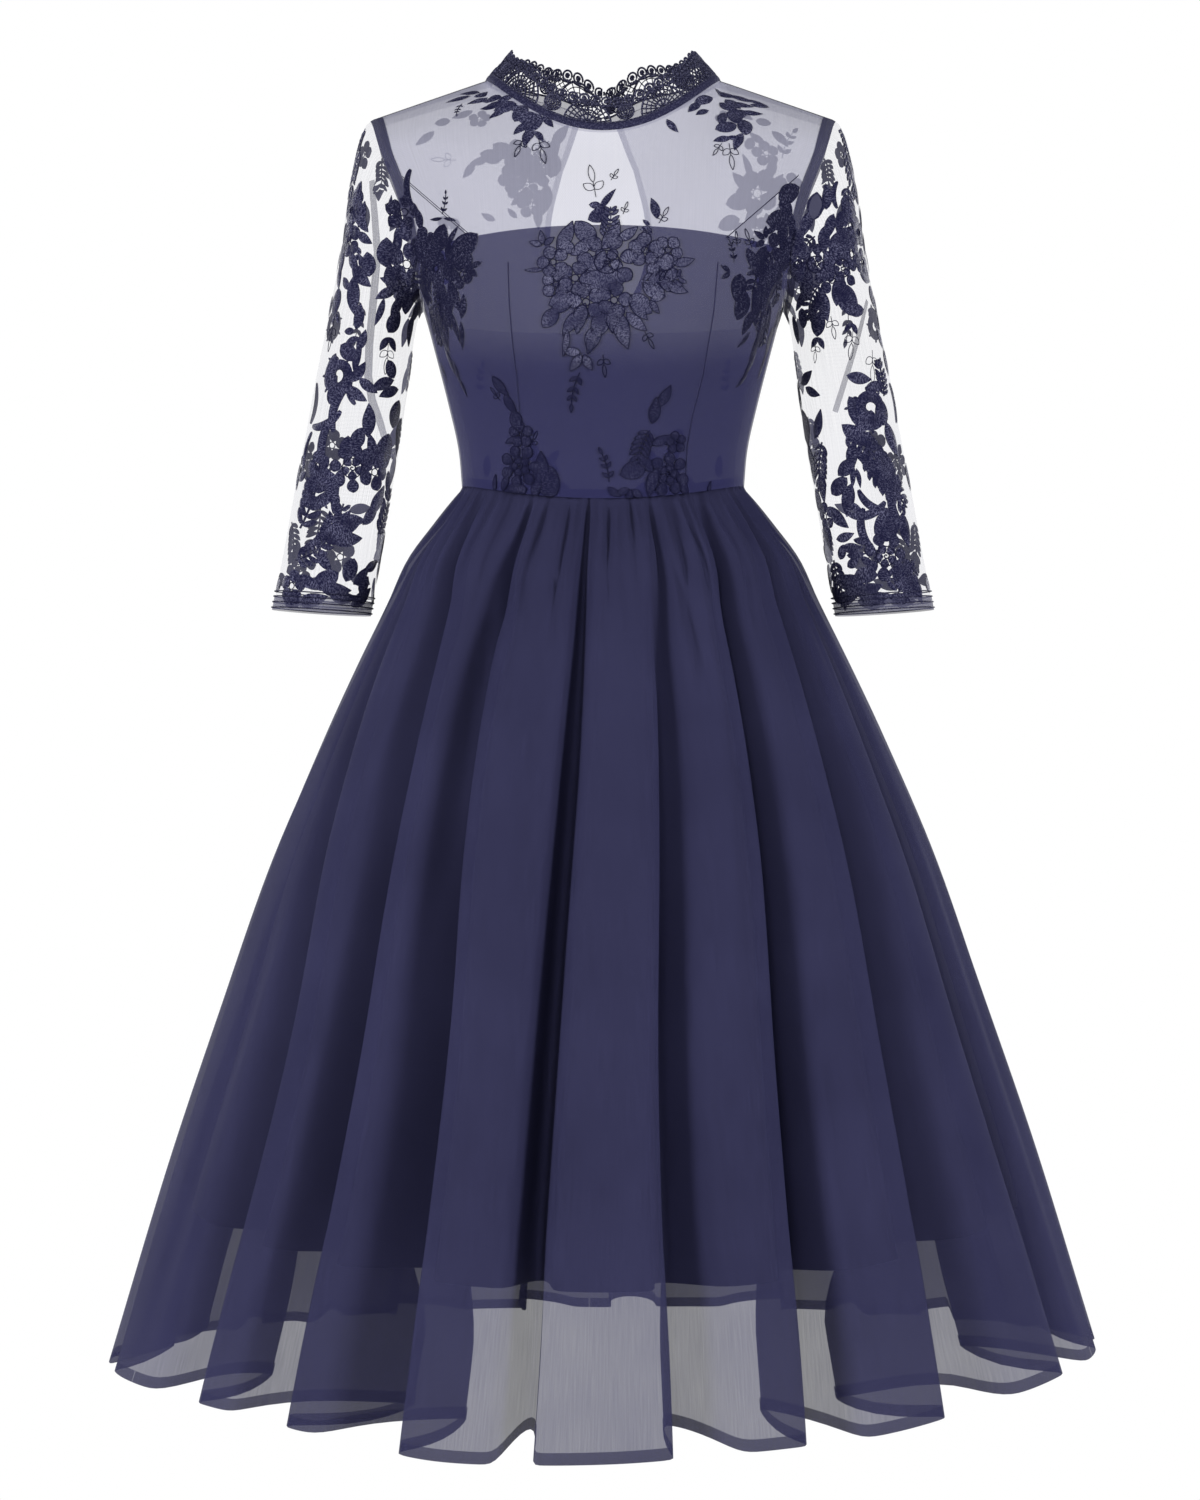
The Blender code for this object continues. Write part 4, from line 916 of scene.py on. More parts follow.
def make_bodice():
    """The opaque bodice under the net, its side edges dipped into their seams."""
    levels = np.concatenate((np.linspace(0, UNDERARM_LEVEL, 22),
                             np.linspace(UNDERARM_LEVEL, FRONT_TOP_LEVEL, 12)[1:]))
    half = torso_rows(levels, np.linspace(0.0, 0.5, 13), out=BODICE_OUT)
    side = torso_rows(levels, np.linspace(0.5, 1.0, 13), out=BODICE_OUT)
    back = torso_rows(np.linspace(0, BACK_TOP_LEVEL, 24), np.linspace(0.0, 1.0, 25), back=True,
                      out=BODICE_OUT)
    fading = tuple(enumerate(BODICE_EDGES, FIRST_FADING_ROW))
    for name, rows, zones in (
        ("centre_front", both_halves(half), ()),
        ("side_front_left", side, ()),
        ("side_front_right", flipped(side), ()),
        ("back_left", back, fading),
        ("back_right", flipped(back), fading),
    ):
        cloth("bodice_cloth_" + name, seamed(rows), BODICE, "bodice", ["bodice_" + name],
              "stretched", zones=zones)


def net_levels(edge, below, above):
    """Levels of the net from the waist to the neck, with one row along the bodice's top edge."""
    return np.concatenate((np.linspace(0, edge, below + 1),
                           np.linspace(edge, YOKE_LEVEL, above + 1)[1:],
                           np.linspace(YOKE_LEVEL, NECK_LEVEL, 14)[1:]))


FRONT_COVERED = 25             # rows of the net that lie over the bodice's front
BACK_COVERED = 15              # and over its back
# These rows take the denser net with a dimmer painted glow.
NECK_EDGE_ROW = 45             # the last rows, doubled under the collar's seam
NET_COLUMNS = np.concatenate((np.linspace(0.0, 0.5, 16), np.linspace(0.5, 1.0, 13)[1:]))
NET_FRONT = both_halves(torso_rows(net_levels(FRONT_TOP_LEVEL, FRONT_COVERED, 10), NET_COLUMNS,
                                   out=NET_OUT))
NET_BACK_LEVELS = net_levels(BACK_TOP_LEVEL, BACK_COVERED, 20)
NET_BACK_LEFT = torso_rows(NET_BACK_LEVELS, NET_COLUMNS, True, NET_OUT, 1)
NET_BACK_RIGHT = flipped(torso_rows(NET_BACK_LEVELS, NET_COLUMNS, True, NET_OUT, -1))
SLEEVE_RINGS = np.concatenate((np.linspace(0, 3, 13), np.linspace(3, 10, 34)[1:]))
SLEEVE_TURNS = np.linspace(-180, 180, 61)
ELBOW_SLANT = 0.012            # rings down for a degree round the sleeve
ELBOW_REACH = 0.35             # rings
ELBOW_CREASES = (              # ring, turn and half width in degrees, depth in metres
    (0.8, 60, 38, 0.0030), (1.4, 95, 30, 0.0026), (5.6, 140, 60, 0.0016), (6.1, 70, 50, 0.0013),
    (6.8, 155, 55, 0.0014), (8.2, 100, 60, 0.0010), (1.2, -70, 40, 0.0028),
    (5.9, -120, 55, 0.0018),
)


def elbow_creased(rows):
    """Soft creases of the net where the arm bends, uneven round the sleeve."""
    rows = rows.copy()
    centres = rows.mean(axis=1, keepdims=True)
    fade = smoothstep(0.0, 0.6, SLEEVE_RINGS)[:, None]
    for ring, turn, width, depth in ELBOW_CREASES:
        away = SLEEVE_TURNS - turn
        along_it = np.exp(-((SLEEVE_RINGS[:, None] - ring - ELBOW_SLANT * away)
                            / ELBOW_REACH) ** 2)
        round_it = np.exp(-(away / width) ** 2)[None, :]
        inward = centres - rows
        inward /= np.linalg.norm(inward, axis=2, keepdims=True)
        rows += inward * (along_it * round_it * fade * depth)[:, :, None]
    return rows


SLEEVE_LEFT = elbow_creased(np.array([[sleeve_point(ring, turn) for turn in SLEEVE_TURNS]
                                      for ring in SLEEVE_RINGS]))
SLEEVE_RIGHT = flipped(SLEEVE_LEFT)


PAST_A_HIT = 0.0005            # metres behind one hit from which the next is sought


class Skin:
    """The outer surface of the upper dress, which its embroidery and trims lie on."""

    def __init__(self, *panels):
        vertices = []
        faces = []
        for points in panels:
            rows, columns = points.shape[:2]
            quads = grid_faces(rows, columns, len(vertices))
            flat = points.reshape(-1, 3)
            vertices.extend(map(tuple, flat))
            middle = points[rows // 2, columns // 2]
            normal = np.cross(points[rows // 2, columns // 2 + 1] - middle,
                              points[rows // 2 + 1, columns // 2] - middle)
            inner = flat.mean(axis=0) * np.array((1.0, 0.0, 1.0))
            if np.dot(normal, middle - inner) < 0:
                quads = [quad[::-1] for quad in quads]
            faces.extend(quads)
        self.tree = BVHTree.FromPolygons(vertices, faces)

    def nearest(self, point):
        place, normal, _, _ = self.tree.find_nearest(Vector(point))
        return np.array(place), np.array(normal)

    def over(self, point, lift):
        """The place nearest to a point, lifted off the surface."""
        place, normal = self.nearest(point)
        return place + normal * lift

    def seen(self, x, y, far=False):
        """Where the surface shows at a pixel of the 1200 x 1500 frame, near side or far side."""
        aim = unit(np.array(((x - FRAME_MIDDLE[0]) * PIXEL, DISTANCE,
                             (FRAME_MIDDLE[1] - y) * PIXEL)))
        start = EYE
        found = None
        for _ in range(6):
            place, normal, _, _ = self.tree.ray_cast(Vector(start), Vector(aim))
            if place is None:
                break
            found = np.array(place)
            if (np.dot(normal, aim) > 0) == far:
                return found
            start = found + aim * PAST_A_HIT
        return EYE + aim * (DISTANCE / aim[1]) if found is None else found

    def behind(self, x, z):
        """Where the back of the dress is, at a place measured across and up."""
        place, _, _, _ = self.tree.ray_cast(Vector((x, 1.0, z)), Vector((0.0, -1.0, 0.0)))
        return np.array((x, 0.1, z)) if place is None else np.array(place)


TORSO_SKIN = Skin(NET_FRONT, NET_BACK_LEFT, NET_BACK_RIGHT)
SLEEVE_SKINS = {"left": Skin(SLEEVE_LEFT), "right": Skin(SLEEVE_RIGHT)}
WHOLE_SKIN = Skin(NET_FRONT, NET_BACK_LEFT, NET_BACK_RIGHT, SLEEVE_LEFT, SLEEVE_RIGHT)


# ---------------------------------------------------------------- embroidery

LIFT = 0.0004                  # stitches over the net
STITCH, WRONG_SIDE, DRAWN = range(3)
OUTLINED_STEPS = 12            # bands with fewer places get an outline
WAIST_SPRAYS_Y = 370           # pixel row between the bouquet and the sprays at the waist
OUTLINE_RADIUS = 0.00045
OUTLINE_LIFT = LIFT + 0.0001
REVERSE_SPILL = 0.0001         # how much wider the wrong side of a band is
REVERSE_LIFT = -0.0003


class Chart:
    """A flat drawing board laid on the cloth round a place: u to the right, v up, in metres."""

    def __init__(self, skin, place):
        self.skin = skin
        self.place, normal = skin.nearest(place)
        self.up = unit(np.array((0.0, 0.0, 1.0)) - normal * normal[2])
        self.right = np.cross(self.up, normal)

    def at(self, u, v, lift):
        """The place and the normal of the cloth at u, v, the place lifted off it."""
        place, normal = self.skin.nearest(self.place + self.right * u + self.up * v)
        return place + normal * lift, normal


def along(u, v, heading, distance):
    turn = math.radians(heading)
    return u + math.cos(turn) * distance, v + math.sin(turn) * distance


def walk(u, v, heading, length, steps, bend=0.0, pivot=0.0):
    """Places along a line; it turns by bend on its way and has its heading at pivot."""
    places = []
    for i in range(steps + 1):
        places.append((u, v))
        u, v = along(u, v, heading + bend * (i / steps - pivot), length / steps)
    return places


def ring_round(centre, side, other, radius, sides):
    """Points of a ring about a centre; the last is the first again."""
    turns = [2 * math.pi * k / sides for k in range(sides + 1)]
    return [centre + (side * math.cos(turn) + other * math.sin(turn)) * radius for turn in turns]


class Stitches:
    """The embroidery of one panel, gathered motif by motif."""

    def __init__(self, reverse, outlined):
        self.vertices = []
        self.faces = []
        self.uvs = []
        self.looks = []            # of each face: stitches, their wrong side or a line of thread
        self.reverse = reverse     # whether the wrong side shows
        self.outlined = outlined   # whether a thread runs round each small leaf

    def grid(self, points, uvs, columns, look):
        faces = grid_faces(len(points) // columns, columns, len(self.vertices))
        self.vertices.extend(points)
        self.uvs.extend(uvs)
        self.faces.extend(faces)
        self.looks.extend([look] * len(faces))

    def band(self, chart, path, widths, dome=0.0005):
        """A filled band along a path, domed across, as satin stitch is."""
        path = np.array(path)
        tangent = np.gradient(path, axis=0)
        tangent /= np.maximum(np.linalg.norm(tangent, axis=1), 1e-9)[:, None]
        side = np.stack((-tangent[:, 1], tangent[:, 0]), axis=1)
        run = np.concatenate(((0.0,), np.cumsum(np.linalg.norm(np.diff(path, axis=0), axis=1))))
        widest = max(widths)
        shift = rng.random()

        def strip(shares, spill, dome, lift, look):
            points = []
            uvs = []
            for place, aside, width, distance in zip(path, side, widths, run):
                for s in shares:
                    rise = lift + dome * (1 - s * s) * min(width / widest, 1.0)
                    points.append(chart.at(*(place + aside * s * (width / 2 + spill)), rise)[0])
                    uvs.append((distance + shift, s * width / 2 + shift))
            self.grid(points, uvs, len(shares), look)

        strip((-1.0, -0.5, 0.0, 0.5, 1.0), 0.0, dome, LIFT, STITCH)
        if self.outlined and len(widths) < OUTLINED_STEPS:
            half = side * np.array(widths)[:, None] / 2
            self.cord(chart, [*(path + half), *(path - half)[::-1]], OUTLINE_RADIUS, 3,
                      OUTLINE_LIFT)
        if self.reverse:
            strip((-1, 1), REVERSE_SPILL, 0.0, REVERSE_LIFT, WRONG_SIDE)

    def leaf(self, chart, u, v, heading, length, width, bend=0.0, skew=0.85, blunt=0.9, steps=8):
        """One leaf or petal from its foot, pointing to heading in degrees from the right."""
        self.band(chart, walk(u, v, heading, length, steps, bend, 0.2), [
            max(width * math.sin(math.pi * (i / steps) ** skew) ** blunt, width * 0.03)
            for i in range(steps + 1)])

    def cord(self, chart, path, radius=0.00035, sides=4, lift=LIFT):
        """A fine line of thread along a path."""
        spots = [chart.at(u, v, lift) for u, v in path]
        centres = np.array([spot[0] for spot in spots])
        tangent = np.gradient(centres, axis=0)
        points = []
        uvs = []
        run = 0.0
        for i, (centre, normal) in enumerate(spots):
            run += np.linalg.norm(centre - centres[max(i - 1, 0)])
            side = unit(np.cross(tangent[i], normal))
            points.extend(ring_round(centre, side, normal, radius, sides))
            uvs.extend((run, k * radius) for k in range(sides + 1))
        self.grid(points, uvs, sides + 1, DRAWN)

    def loop(self, chart, u, v, heading, length, width, bend=0.0, radius=0.00032):
        """The outline of a leaf, as a line of thread."""
        steps = 9
        left = []
        right = []
        for i, place in enumerate(walk(u, v, heading, length, steps, bend)):
            half = width / 2 * math.sin(math.pi * (i / steps) ** 0.9) ** 0.8
            turn = heading + bend * i / steps
            left.append(along(*place, turn + 90, half))
            right.append(along(*place, turn - 90, half))
        self.cord(chart, left + right[::-1], radius)


# Motifs.  Each draws itself on a chart round its own foot or middle, at a size in metres.

def draw_leaf(out, chart, heading, size, slim=0.42, lean=18.0, **shape):
    foot = along(0, 0, heading, -size / 2)
    out.leaf(chart, *foot, heading, size, size * slim, lean, **shape)


def draw_pair(out, chart, heading, size):
    for turn in (-38, 38):
        out.leaf(chart, 0, 0, heading + turn, size, size * 0.45, bend=-turn * 0.4)


def draw_trio(out, chart, heading, size):
    for turn, share in ((-58, 0.85), (0, 1.0), (58, 0.85)):
        foot = along(0, 0, heading + turn, size * 0.12)
        out.leaf(chart, *foot, heading + turn, size * share, size * 0.44, bend=turn * 0.2)


def draw_flower(out, chart, heading, size, petals=5, hole=0.20, slim=1.0):
    """Rounded petals round an open middle with a ringed eye."""
    wide = 2.25 * math.pi * size * 0.55 / petals * slim
    for k in range(petals):
        turn = heading + 360.0 * k / petals + rng.uniform(-5, 5)
        reach = size * (1 - hole) * rng.uniform(0.9, 1.05)
        out.leaf(chart, *along(0, 0, turn, size * hole), turn, reach, wide, skew=1.15, blunt=0.55,
                 bend=rng.uniform(-10, 10))
    ring = [along(0, 0, 24 * k, size * hole * 0.95) for k in range(16)]
    out.cord(chart, ring, radius=0.0005, lift=0.0008)


def draw_rose(out, chart, heading, size):
    """A full flower: outer petals, inner petals turned between them, and a curled heart."""
    draw_flower(out, chart, heading, size, petals=7, hole=0.42, slim=0.9)
    for k in range(5):
        turn = heading + 36 + 72 * k
        out.leaf(chart, *along(0, 0, turn, size * 0.10), turn, size * 0.42, size * 0.36, skew=1.1,
                 blunt=0.6, bend=14)
    spiral = [along(0, 0, heading + 40 * k, size * (0.02 + 0.012 * k)) for k in range(12)]
    out.cord(chart, spiral, radius=0.0006, lift=0.0011)
    for k in range(7):
        turn = heading + 360.0 * k / 7
        out.loop(chart, *along(0, 0, turn, size * 0.50), turn, size * 0.46, size * 0.34,
                 radius=0.0004)


def draw_sprig(out, chart, heading, size, pairs=3, lean=25.0, leaf=0.26):
    """A curved stem with leaves in pairs and one at its tip."""
    steps = 12
    stem = walk(0.0, 0.0, heading, size, steps, lean, 0.3)
    out.cord(chart, stem, radius=0.0004)
    for k in range(pairs):
        t = (k + 0.8) / (pairs + 0.4)
        grown = size * leaf * (1.1 - 0.35 * t)
        for side in (-1, 1):
            turn = heading + lean * (t - 0.3) + side * (48 + 8 * math.sin(3 * k))
            out.leaf(chart, *stem[int(t * steps)], turn, grown, grown * 0.48, bend=-side * 20)
    out.leaf(chart, *stem[-1], heading + lean * 0.7, size * leaf, size * leaf * 0.44)


def draw_loops(out, chart, heading, size):
    """A sprig drawn in thin lines alone: two round loops and a long one."""
    foot, middle, end = (along(0, 0, heading, size * share) for share in (0.2, 0.25, 0.45))
    out.cord(chart, [(0, 0), foot, end], radius=0.0003)
    for turn in (-62, 62):
        out.loop(chart, *middle, heading + turn, size * 0.34, size * 0.22, bend=-turn * 0.3)
    out.loop(chart, *end, heading, size * 0.58, size * 0.17)


def draw_scroll(out, chart, heading, size, turns=1.45, wide=0.30):
    """A thick band that curls in on itself, with small leaves along its outer edge."""
    steps = 34
    headings = [heading + 360 * turns * i / steps for i in range(steps + 1)]
    path = [along(0, 0, turn, size * mix(0.50, 0.15, i / steps))
            for i, turn in enumerate(headings)]
    widths = [size * wide * mix(0.55, 1.0, math.sin(math.pi * (0.15 + 0.75 * i / steps)))
              for i in range(steps + 1)]
    out.band(chart, path, widths, dome=0.0007)
    for i in range(2, steps - 6, 3):
        out.leaf(chart, *along(*path[i], headings[i], widths[i] * 0.42), headings[i] + 20,
                 size * 0.13, size * 0.07, steps=4)


def draw_fern(out, chart, heading, size, barbs=7, lean=35.0, wide=0.34):
    """A feathered leaf: narrow bands side by side along a curved rib."""
    steps = 16
    rib = walk(0.0, 0.0, heading, size, steps, lean, 0.5)
    out.band(chart, rib, [size * 0.035] * (steps + 1), dome=0.0006)
    pitch = size / (barbs + 1)
    for k in range(barbs):
        t = (k + 0.7) / (barbs + 0.6)
        reach = size * wide * math.sin(math.pi * (0.22 + 0.68 * t)) ** 0.7
        for side in (-1, 1):
            out.leaf(chart, *rib[int(t * steps)], heading + lean * (t - 0.5) + side * 58, reach,
                     pitch * 0.80, bend=-side * 30, skew=1.05, blunt=0.5, steps=6)


def draw_vine(out, chart, heading, size, lean=80.0, wide=0.20):
    """A broad curved stem, thick in its middle."""
    steps = 18
    path = walk(*along(0, 0, heading, -size / 2), heading, size, steps, lean, 0.5)
    out.band(chart, path, [size * wide * (0.35 + 0.65 * math.sin(math.pi * i / steps) ** 0.6)
                           for i in range(steps + 1)], dome=0.0008)


MOTIFS = {
    "leaf": draw_leaf,
    "oval": partial(draw_leaf, slim=0.66, lean=0.0, blunt=0.62, skew=0.9),
    "slim": partial(draw_leaf, slim=0.24, lean=-14.0),
    "pair": draw_pair,
    "trio": draw_trio,
    "flower": draw_flower,
    "rose": draw_rose,
    "sprig": draw_sprig,
    "scroll": draw_scroll,
    "fern": draw_fern,
    "vine": draw_vine,
    "loops": draw_loops,
}

# Embroidery of the front, by pixel of the 1200 x 1500 frame: across, down, motif, heading in
# degrees (0 right, 90 up), size in pixels.
YOKE_MOTIFS = (
    (478, 101, "leaf", 200, 20), (492, 99, "leaf", 190, 20), (505, 107, "oval", 200, 20),
    (498, 113, "leaf", 215, 18), (520, 113, "oval", 250, 20), (533, 123, "oval", 240, 22),
    (541, 113, "leaf", 280, 18), (548, 121, "leaf", 300, 16), (527, 137, "leaf", 250, 20),
    (728, 107, "oval", 320, 18), (742, 105, "leaf", 340, 22), (752, 113, "leaf", 350, 20),
    (735, 117, "oval", 280, 20), (722, 119, "leaf", 250, 20), (745, 127, "oval", 265, 20),
    (738, 141, "leaf", 240, 20), (760, 106, "leaf", 350, 18), (702, 112, "leaf", 200, 14),
    # neckline, wearer's right
    (458, 99, "leaf", 205, 22), (470, 93, "leaf", 170, 20), (482, 95, "oval", 200, 14),
    (462, 104, "sprig", 268, 17), (492, 106, "leaf", 195, 22), (503, 100, "leaf", 215, 20),
    (513, 107, "leaf", 150, 18), (528, 118, "oval", 160, 22), (542, 114, "oval", 100, 18),
    (521, 128, "leaf", 220, 18), (535, 131, "pair", 270, 13), (538, 137, "loops", 285, 26),
    (524, 137, "loops", 250, 20),
    # neckline, wearer's left
    (703, 100, "leaf", 205, 24), (694, 107, "leaf", 215, 17), (672, 126, "leaf", 300, 16),
    (725, 95, "leaf", 340, 24), (742, 99, "leaf", 325, 22), (733, 104, "oval", 300, 18),
    (737, 114, "oval", 30, 22), (726, 127, "oval", 200, 20), (722, 139, "leaf", 190, 16),
    (735, 138, "leaf", 350, 13), (729, 143, "loops", 275, 24), (722, 143, "loops", 235, 14),
    (758, 103, "leaf", 320, 18),
    # middle of the chest
    (596, 197, "loops", 100, 30), (607, 199, "slim", 58, 24), (595, 205, "oval", 175, 10),
    (599, 215, "oval", 205, 20), (655, 208, "leaf", 100, 19), (659, 223, "loops", 60, 16),
    (651, 226, "trio", 200, 9), (611, 180, "loops", 60, 12),
)
BODICE_MOTIFS = (
    (566, 236, "leaf", 60, 30), (584, 246, "leaf", 35, 28), (604, 238, "fern", 80, 30),
    (640, 244, "leaf", 62, 28), (602, 280, "oval", 0, 40), (598, 262, "leaf", 18, 32),
    (562, 300, "oval", 200, 24), (550, 318, "oval", 230, 20), (580, 318, "leaf", 250, 28),
    (612, 318, "leaf", 275, 30), (638, 308, "leaf", 300, 26), (654, 290, "oval", 330, 22),
    (666, 262, "oval", 20, 22), (590, 340, "leaf", 262, 22),
    # the bouquet
    (607, 262, "rose", 20, 27), (585, 232, "oval", 130, 26), (612, 236, "leaf", 55, 30),
    (628, 234, "leaf", 30, 22), (553, 262, "flower", 40, 15), (543, 246, "trio", 100, 13),
    (534, 270, "slim", 185, 16), (566, 246, "oval", 140, 18), (556, 284, "flower", 10, 14),
    (575, 278, "flower", 70, 17), (645, 250, "flower", 15, 16), (668, 250, "flower", 50, 14),
    (662, 274, "flower", 0, 15), (684, 262, "leaf", 10, 20), (676, 288, "leaf", 335, 22),
    (641, 281, "fern", 10, 38), (586, 302, "flower", 30, 17), (614, 300, "flower", 5, 16),
    (641, 304, "oval", 320, 24), (561, 306, "leaf", 205, 26), (572, 322, "leaf", 225, 28),
    (566, 343, "slim", 262, 24), (600, 324, "oval", 250, 24), (622, 330, "leaf", 280, 34),
    (612, 320, "leaf", 262, 22), (636, 322, "leaf", 315, 24), (593, 340, "leaf", 240, 26),
    (583, 352, "trio", 235, 18), (580, 372, "sprig", 250, 30), (603, 354, "loops", 275, 20),
    (644, 330, "loops", 300, 18), (650, 300, "pair", 340, 14), (623, 214, "loops", 70, 12),
    # above the waist, wearer's right
    (500, 386, "leaf", 300, 22), (510, 404, "leaf", 290, 20), (516, 420, "oval", 270, 18),
    (521, 434, "flower", 20, 12), (512, 440, "leaf", 190, 14), (520, 466, "rose", 0, 20),
    (541, 470, "leaf", 80, 34), (548, 482, "oval", 280, 32), (536, 488, "leaf", 250, 22),
    (516, 491, "oval", 10, 22), (505, 483, "leaf", 240, 16), (495, 483, "slim", 85, 16),
    (530, 447, "loops", 60, 16), (500, 400, "loops", 120, 14),
    # above the waist, wearer's left
    (665, 396, "leaf", 60, 22), (655, 410, "leaf", 80, 24), (650, 430, "fern", 255, 34),
    (662, 440, "leaf", 20, 20), (676, 442, "flower", 30, 10), (633, 470, "oval", 200, 24),
    (645, 462, "leaf", 130, 22), (668, 474, "rose", 40, 20), (652, 482, "leaf", 250, 26),
    (631, 488, "trio", 260, 14), (609, 482, "sprig", 100, 26), (614, 492, "leaf", 320, 14),
    (684, 488, "leaf", 290, 18), (709, 488, "slim", 85, 13),
)
ARMHOLE_MOTIFS = (
    (428, 262, "fern", 250, 36), (440, 280, "fern", 265, 38), (452, 262, "leaf", 240, 28),
    (436, 302, "fern", 262, 36), (424, 245, "flower", 20, 16), (450, 302, "leaf", 252, 24),
    (446, 327, "slim", 265, 30), (432, 322, "slim", 255, 26), (416, 262, "leaf", 250, 24),
    (778, 262, "fern", 290, 36), (766, 282, "fern", 275, 38), (754, 262, "leaf", 300, 26),
    (770, 302, "fern", 278, 36), (782, 245, "flower", 20, 16), (756, 302, "leaf", 288, 24),
    (760, 327, "slim", 275, 30), (776, 322, "slim", 285, 26), (790, 262, "leaf", 290, 24),
    # wearer's right armhole and the front beside it
    (413, 190, "vine", 275, 34), (404, 212, "flower", 80, 16), (419, 218, "leaf", 100, 20),
    (442, 214, "sprig", 75, 16), (436, 219, "slim", 185, 12), (450, 219, "slim", 350, 12),
    (440, 238, "oval", 70, 24), (452, 236, "slim", 62, 20), (464, 246, "oval", 40, 30),
    (460, 258, "oval", 330, 26), (422, 246, "oval", 95, 26), (432, 254, "oval", 80, 24),
    (436, 268, "flower", 0, 15), (450, 274, "leaf", 330, 26), (462, 274, "flower", 40, 12),
    (424, 276, "leaf", 250, 24), (440, 288, "leaf", 300, 30), (454, 296, "leaf", 285, 28),
    (463, 306, "leaf", 70, 20), (446, 312, "leaf", 275, 30), (434, 304, "fern", 255, 34),
    (455, 326, "slim", 285, 28), (444, 338, "leaf", 280, 26), (462, 336, "slim", 262, 24),
    (450, 360, "slim", 282, 26), (457, 372, "slim", 275, 22), (444, 372, "slim", 290, 18),
    (468, 268, "trio", 20, 12), (425, 292, "oval", 262, 24), (415, 296, "leaf", 255, 24),
    (464, 388, "slim", 285, 16), (449, 252, "leaf", 100, 20),
    # wearer's left armhole
    (789, 193, "oval", 30, 24), (786, 207, "oval", 320, 18), (779, 220, "oval", 190, 26),
    (771, 230, "slim", 215, 20), (792, 226, "leaf", 90, 22), (783, 238, "leaf", 250, 22),
    (766, 240, "trio", 150, 12), (752, 248, "loops", 110, 16), (734, 262, "sprig", 95, 18),
    (772, 252, "fern", 240, 40), (786, 254, "oval", 275, 28), (760, 262, "leaf", 245, 30),
    (776, 274, "leaf", 250, 36), (789, 276, "flower", 10, 14), (764, 286, "leaf", 255, 34),
    (739, 288, "oval", 260, 24), (742, 306, "oval", 250, 24), (757, 304, "leaf", 262, 34),
    (772, 300, "vine", 255, 42), (748, 322, "leaf", 240, 24), (764, 326, "slim", 258, 32),
    (756, 344, "slim", 262, 30), (769, 342, "leaf", 270, 26), (744, 340, "slim", 235, 18),
    (750, 364, "slim", 255, 26), (762, 366, "slim", 268, 24), (742, 380, "slim", 240, 18),
    (780, 316, "oval", 268, 22), (737, 246, "loops", 90, 12), (730, 272, "pair", 180, 10),
)
